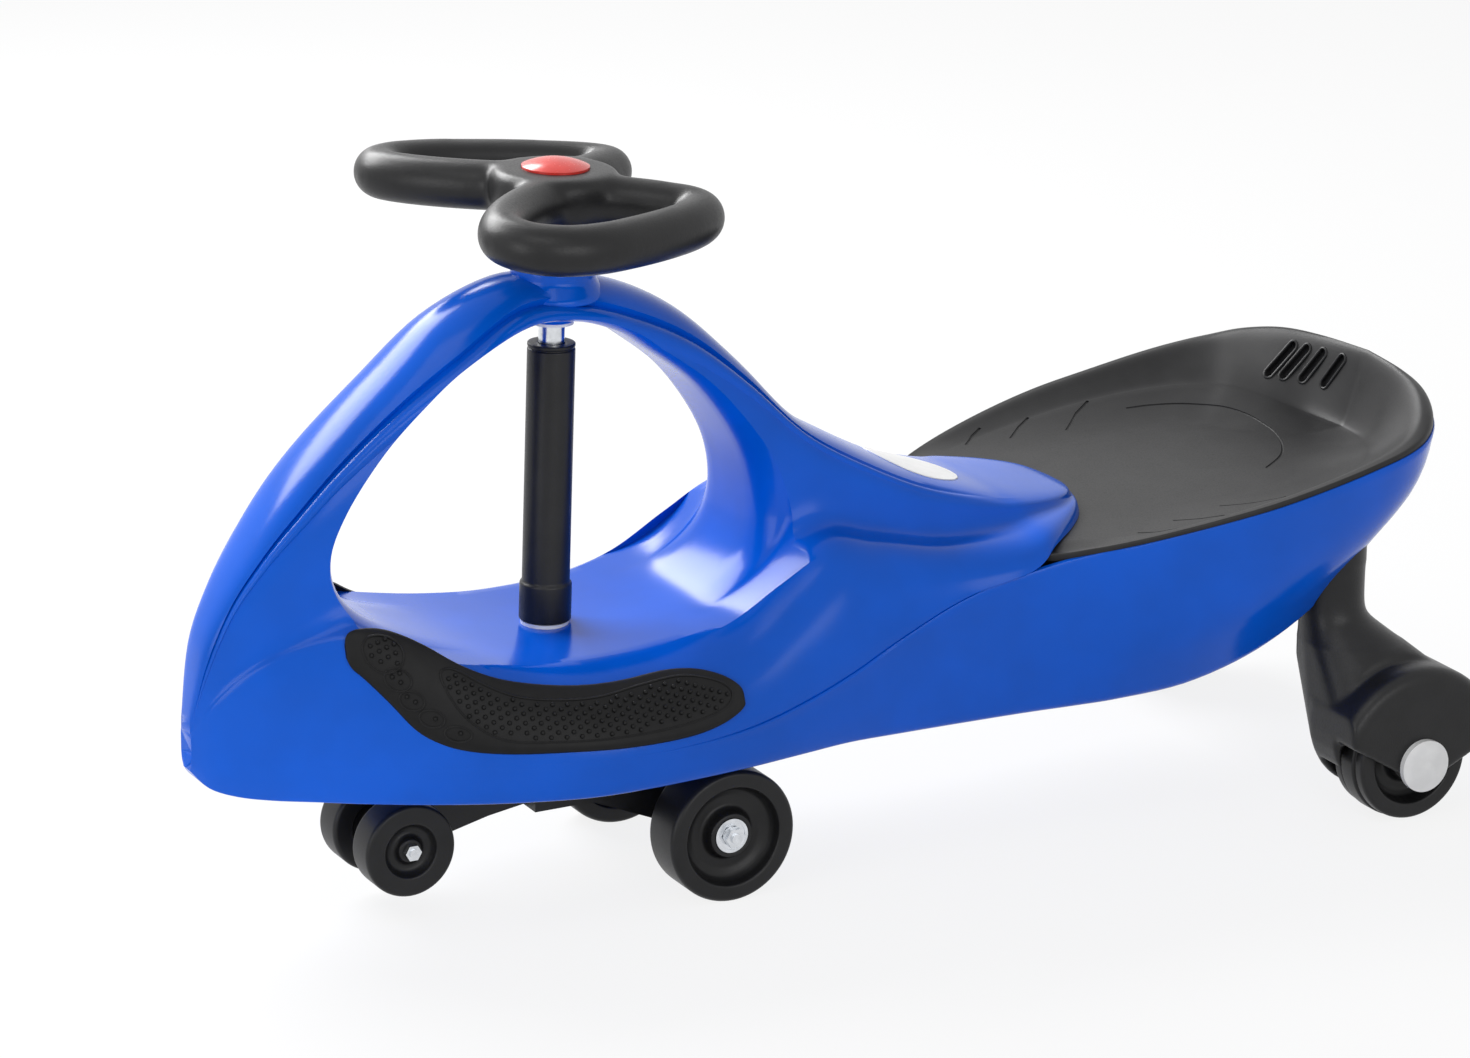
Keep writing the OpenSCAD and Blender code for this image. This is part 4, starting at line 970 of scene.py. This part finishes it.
def wheels():
    seat = HUB_HALF - BEARING_W
    hub = [(AXLE_R + 1.5, seat), (BEARING_R, seat), (BEARING_R, HUB_HALF), (HUB_R, HUB_HALF),
           (HUB_R + 0.8, 7)]
    w = FRONT_W / 2
    front = hub + [(HUB_R + 2.6, 4.6), (20.5, 4.6), (24.5, 6.4), (26.6, 9.5), (27.6, w), (FRONT_R - 1.6, w),
                   (FRONT_R, w - 2)]
    w = REAR_W / 2
    rear = hub + [(HUB_R + 2.6, 4.6), (20, 4.6), (23.5, 7), (25.5, w), (33, w), (34.2, w - 1.5), (34.2, 7.4),
                  (33.2, 7), (33.2, 6.2), (REAR_R, 5.6)]
    w = NOSE_W / 2
    nose = [(2.6, w - 1), (6.4, w - 1), (7.2, w - 4), (9.2, w - 5.4), (12.4, w - 4.6), (14.2, w - 2),
            (14.9, w), (NOSE_R - 1.2, w), (NOSE_R, w - 1.6)]
    for name, side in (("left", 1), ("right", -1)):
        for kind, half, place in (("front", front, (FRONT_X, FRONT_TRACK, FRONT_R)),
                                  ("rear", rear, (REAR_X, REAR_TRACK, REAR_R)),
                                  ("nose", nose, (NOSE_X, NOSE_TRACK, NOSE_Z))):
            body = name + "_" + kind
            wheel(body + "_wheel_moulding", on_axle(*place, side), body, body + "_wheel", half)


def rear_legs():
    for name in ("left", "right"):
        bm = softened(fused(cad_copy(name + "_rear_leg"), 1.4), 5)
        softened(bm, 70, lambda p: 96 < p.z < 140)
        finish_piece(bm, name + "_rear_leg_moulding", "black_plastic", "body", name + "_rear_leg", sharp=45)


def add_camera():
    turn, rise, roll = CAMERA_TURN, CAMERA_RISE, CAMERA_ROLL
    back = Vector((math.sin(turn) * math.cos(rise), math.cos(turn) * math.cos(rise), math.sin(rise)))
    right = Vector((-math.cos(turn), math.sin(turn), 0))
    up = back.cross(right)
    right_rolled = right * math.cos(roll) + up * math.sin(roll)
    up_rolled = up * math.cos(roll) - right * math.sin(roll)
    lens = bpy.data.cameras.new("photo_camera")
    lens.sensor_width = 36.0
    lens.sensor_fit = "HORIZONTAL"
    lens.lens = FOCAL_PX * lens.sensor_width / IMAGE_W
    lens.clip_end = 50.0
    camera = bpy.data.objects.new("photo_camera", lens)
    bpy.context.scene.collection.objects.link(camera)
    turned = Matrix((right_rolled, up_rolled, back)).transposed().to_4x4()
    camera.matrix_world = Matrix.Translation(CAMERA_AT * MM) @ turned
    bpy.context.scene.camera = camera


def add_lamp(name, at, size, watts, aim):
    lamp = bpy.data.lights.new(name, "AREA")
    lamp.shape = "RECTANGLE"
    lamp.size, lamp.size_y = size
    lamp.energy = watts
    stand = bpy.data.objects.new(name, lamp)
    bpy.context.scene.collection.objects.link(stand)
    stand.location = at
    stand.rotation_euler = (Vector(aim) - Vector(at)).to_track_quat("-Z", "Y").to_euler()


def seen_directly(tree):
    """1 for what is seen directly, in a mirror or through glass, 0 for the light that falls on the object."""
    path = add(tree, "ShaderNodeLightPath").outputs
    seen = path["Is Camera Ray"]
    for other in ("Is Glossy Ray", "Is Transmission Ray"):
        step = add(tree, "ShaderNodeMath", settings={"operation": "MAXIMUM"})
        tree.links.new(seen, step.inputs[0])
        tree.links.new(path[other], step.inputs[1])
        seen = step.outputs["Value"]
    return seen


def add_light():
    world = bpy.data.worlds.new("studio")
    bpy.context.scene.world = world
    world.use_nodes = True
    tree = world.node_tree
    ground = tree.nodes["Background"]
    ground.inputs["Color"].default_value = linear("#f4f5f8")
    ground.inputs["Strength"].default_value = WORLD_STRENGTH
    white = add(tree, "ShaderNodeBackground", values={"Color": (1, 1, 1, 1), "Strength": 1.0})
    mix = add(tree, "ShaderNodeMixShader", links={"Fac": seen_directly(tree)})
    tree.links.new(ground.outputs["Background"], mix.inputs[1])
    tree.links.new(white.outputs["Background"], mix.inputs[2])
    tree.links.new(mix.outputs["Shader"], tree.nodes["World Output"].inputs["Surface"])
    for lamp in LAMPS:
        add_lamp(*lamp)


def add_floor():
    bm = bmesh.new()
    bmesh.ops.create_grid(bm, x_segments=1, y_segments=1, size=FLOOR_SIZE)
    mesh = bpy.data.meshes.new("floor")
    bm.to_mesh(mesh)
    bm.free()
    floor = bpy.data.objects.new("floor", mesh)
    bpy.context.scene.collection.objects.link(floor)
    material, tree, shader = new_material("white_studio_floor", "#f4f4f4", Roughness=0.9)
    # most of what the camera sees of the floor is plain white; the rest is lit, and keeps the object's shadow
    glow = add(tree, "ShaderNodeEmission", values={"Color": (1, 1, 1, 1), "Strength": 1.0})
    share = add(tree, "ShaderNodeMath", settings={"operation": "MULTIPLY"})
    tree.links.new(seen_directly(tree), share.inputs[0])
    share.inputs[1].default_value = FLOOR_WHITE
    mix = add(tree, "ShaderNodeMixShader", links={"Fac": share.outputs["Value"]})
    tree.links.new(shader.outputs["BSDF"], mix.inputs[1])
    tree.links.new(glow.outputs["Emission"], mix.inputs[2])
    tree.links.new(mix.outputs["Shader"], tree.nodes["Material Output"].inputs["Surface"])
    mesh.materials.append(material)


dress_cad_nodes()
upper_shell()
lower_shell()
seat_tray()
foot_pads()
badge()
steering_wheel()
column_sleeve()
wheels()
rear_legs()
add_camera()
add_light()
add_floor()

bpy.context.scene.view_settings.view_transform = "Standard"
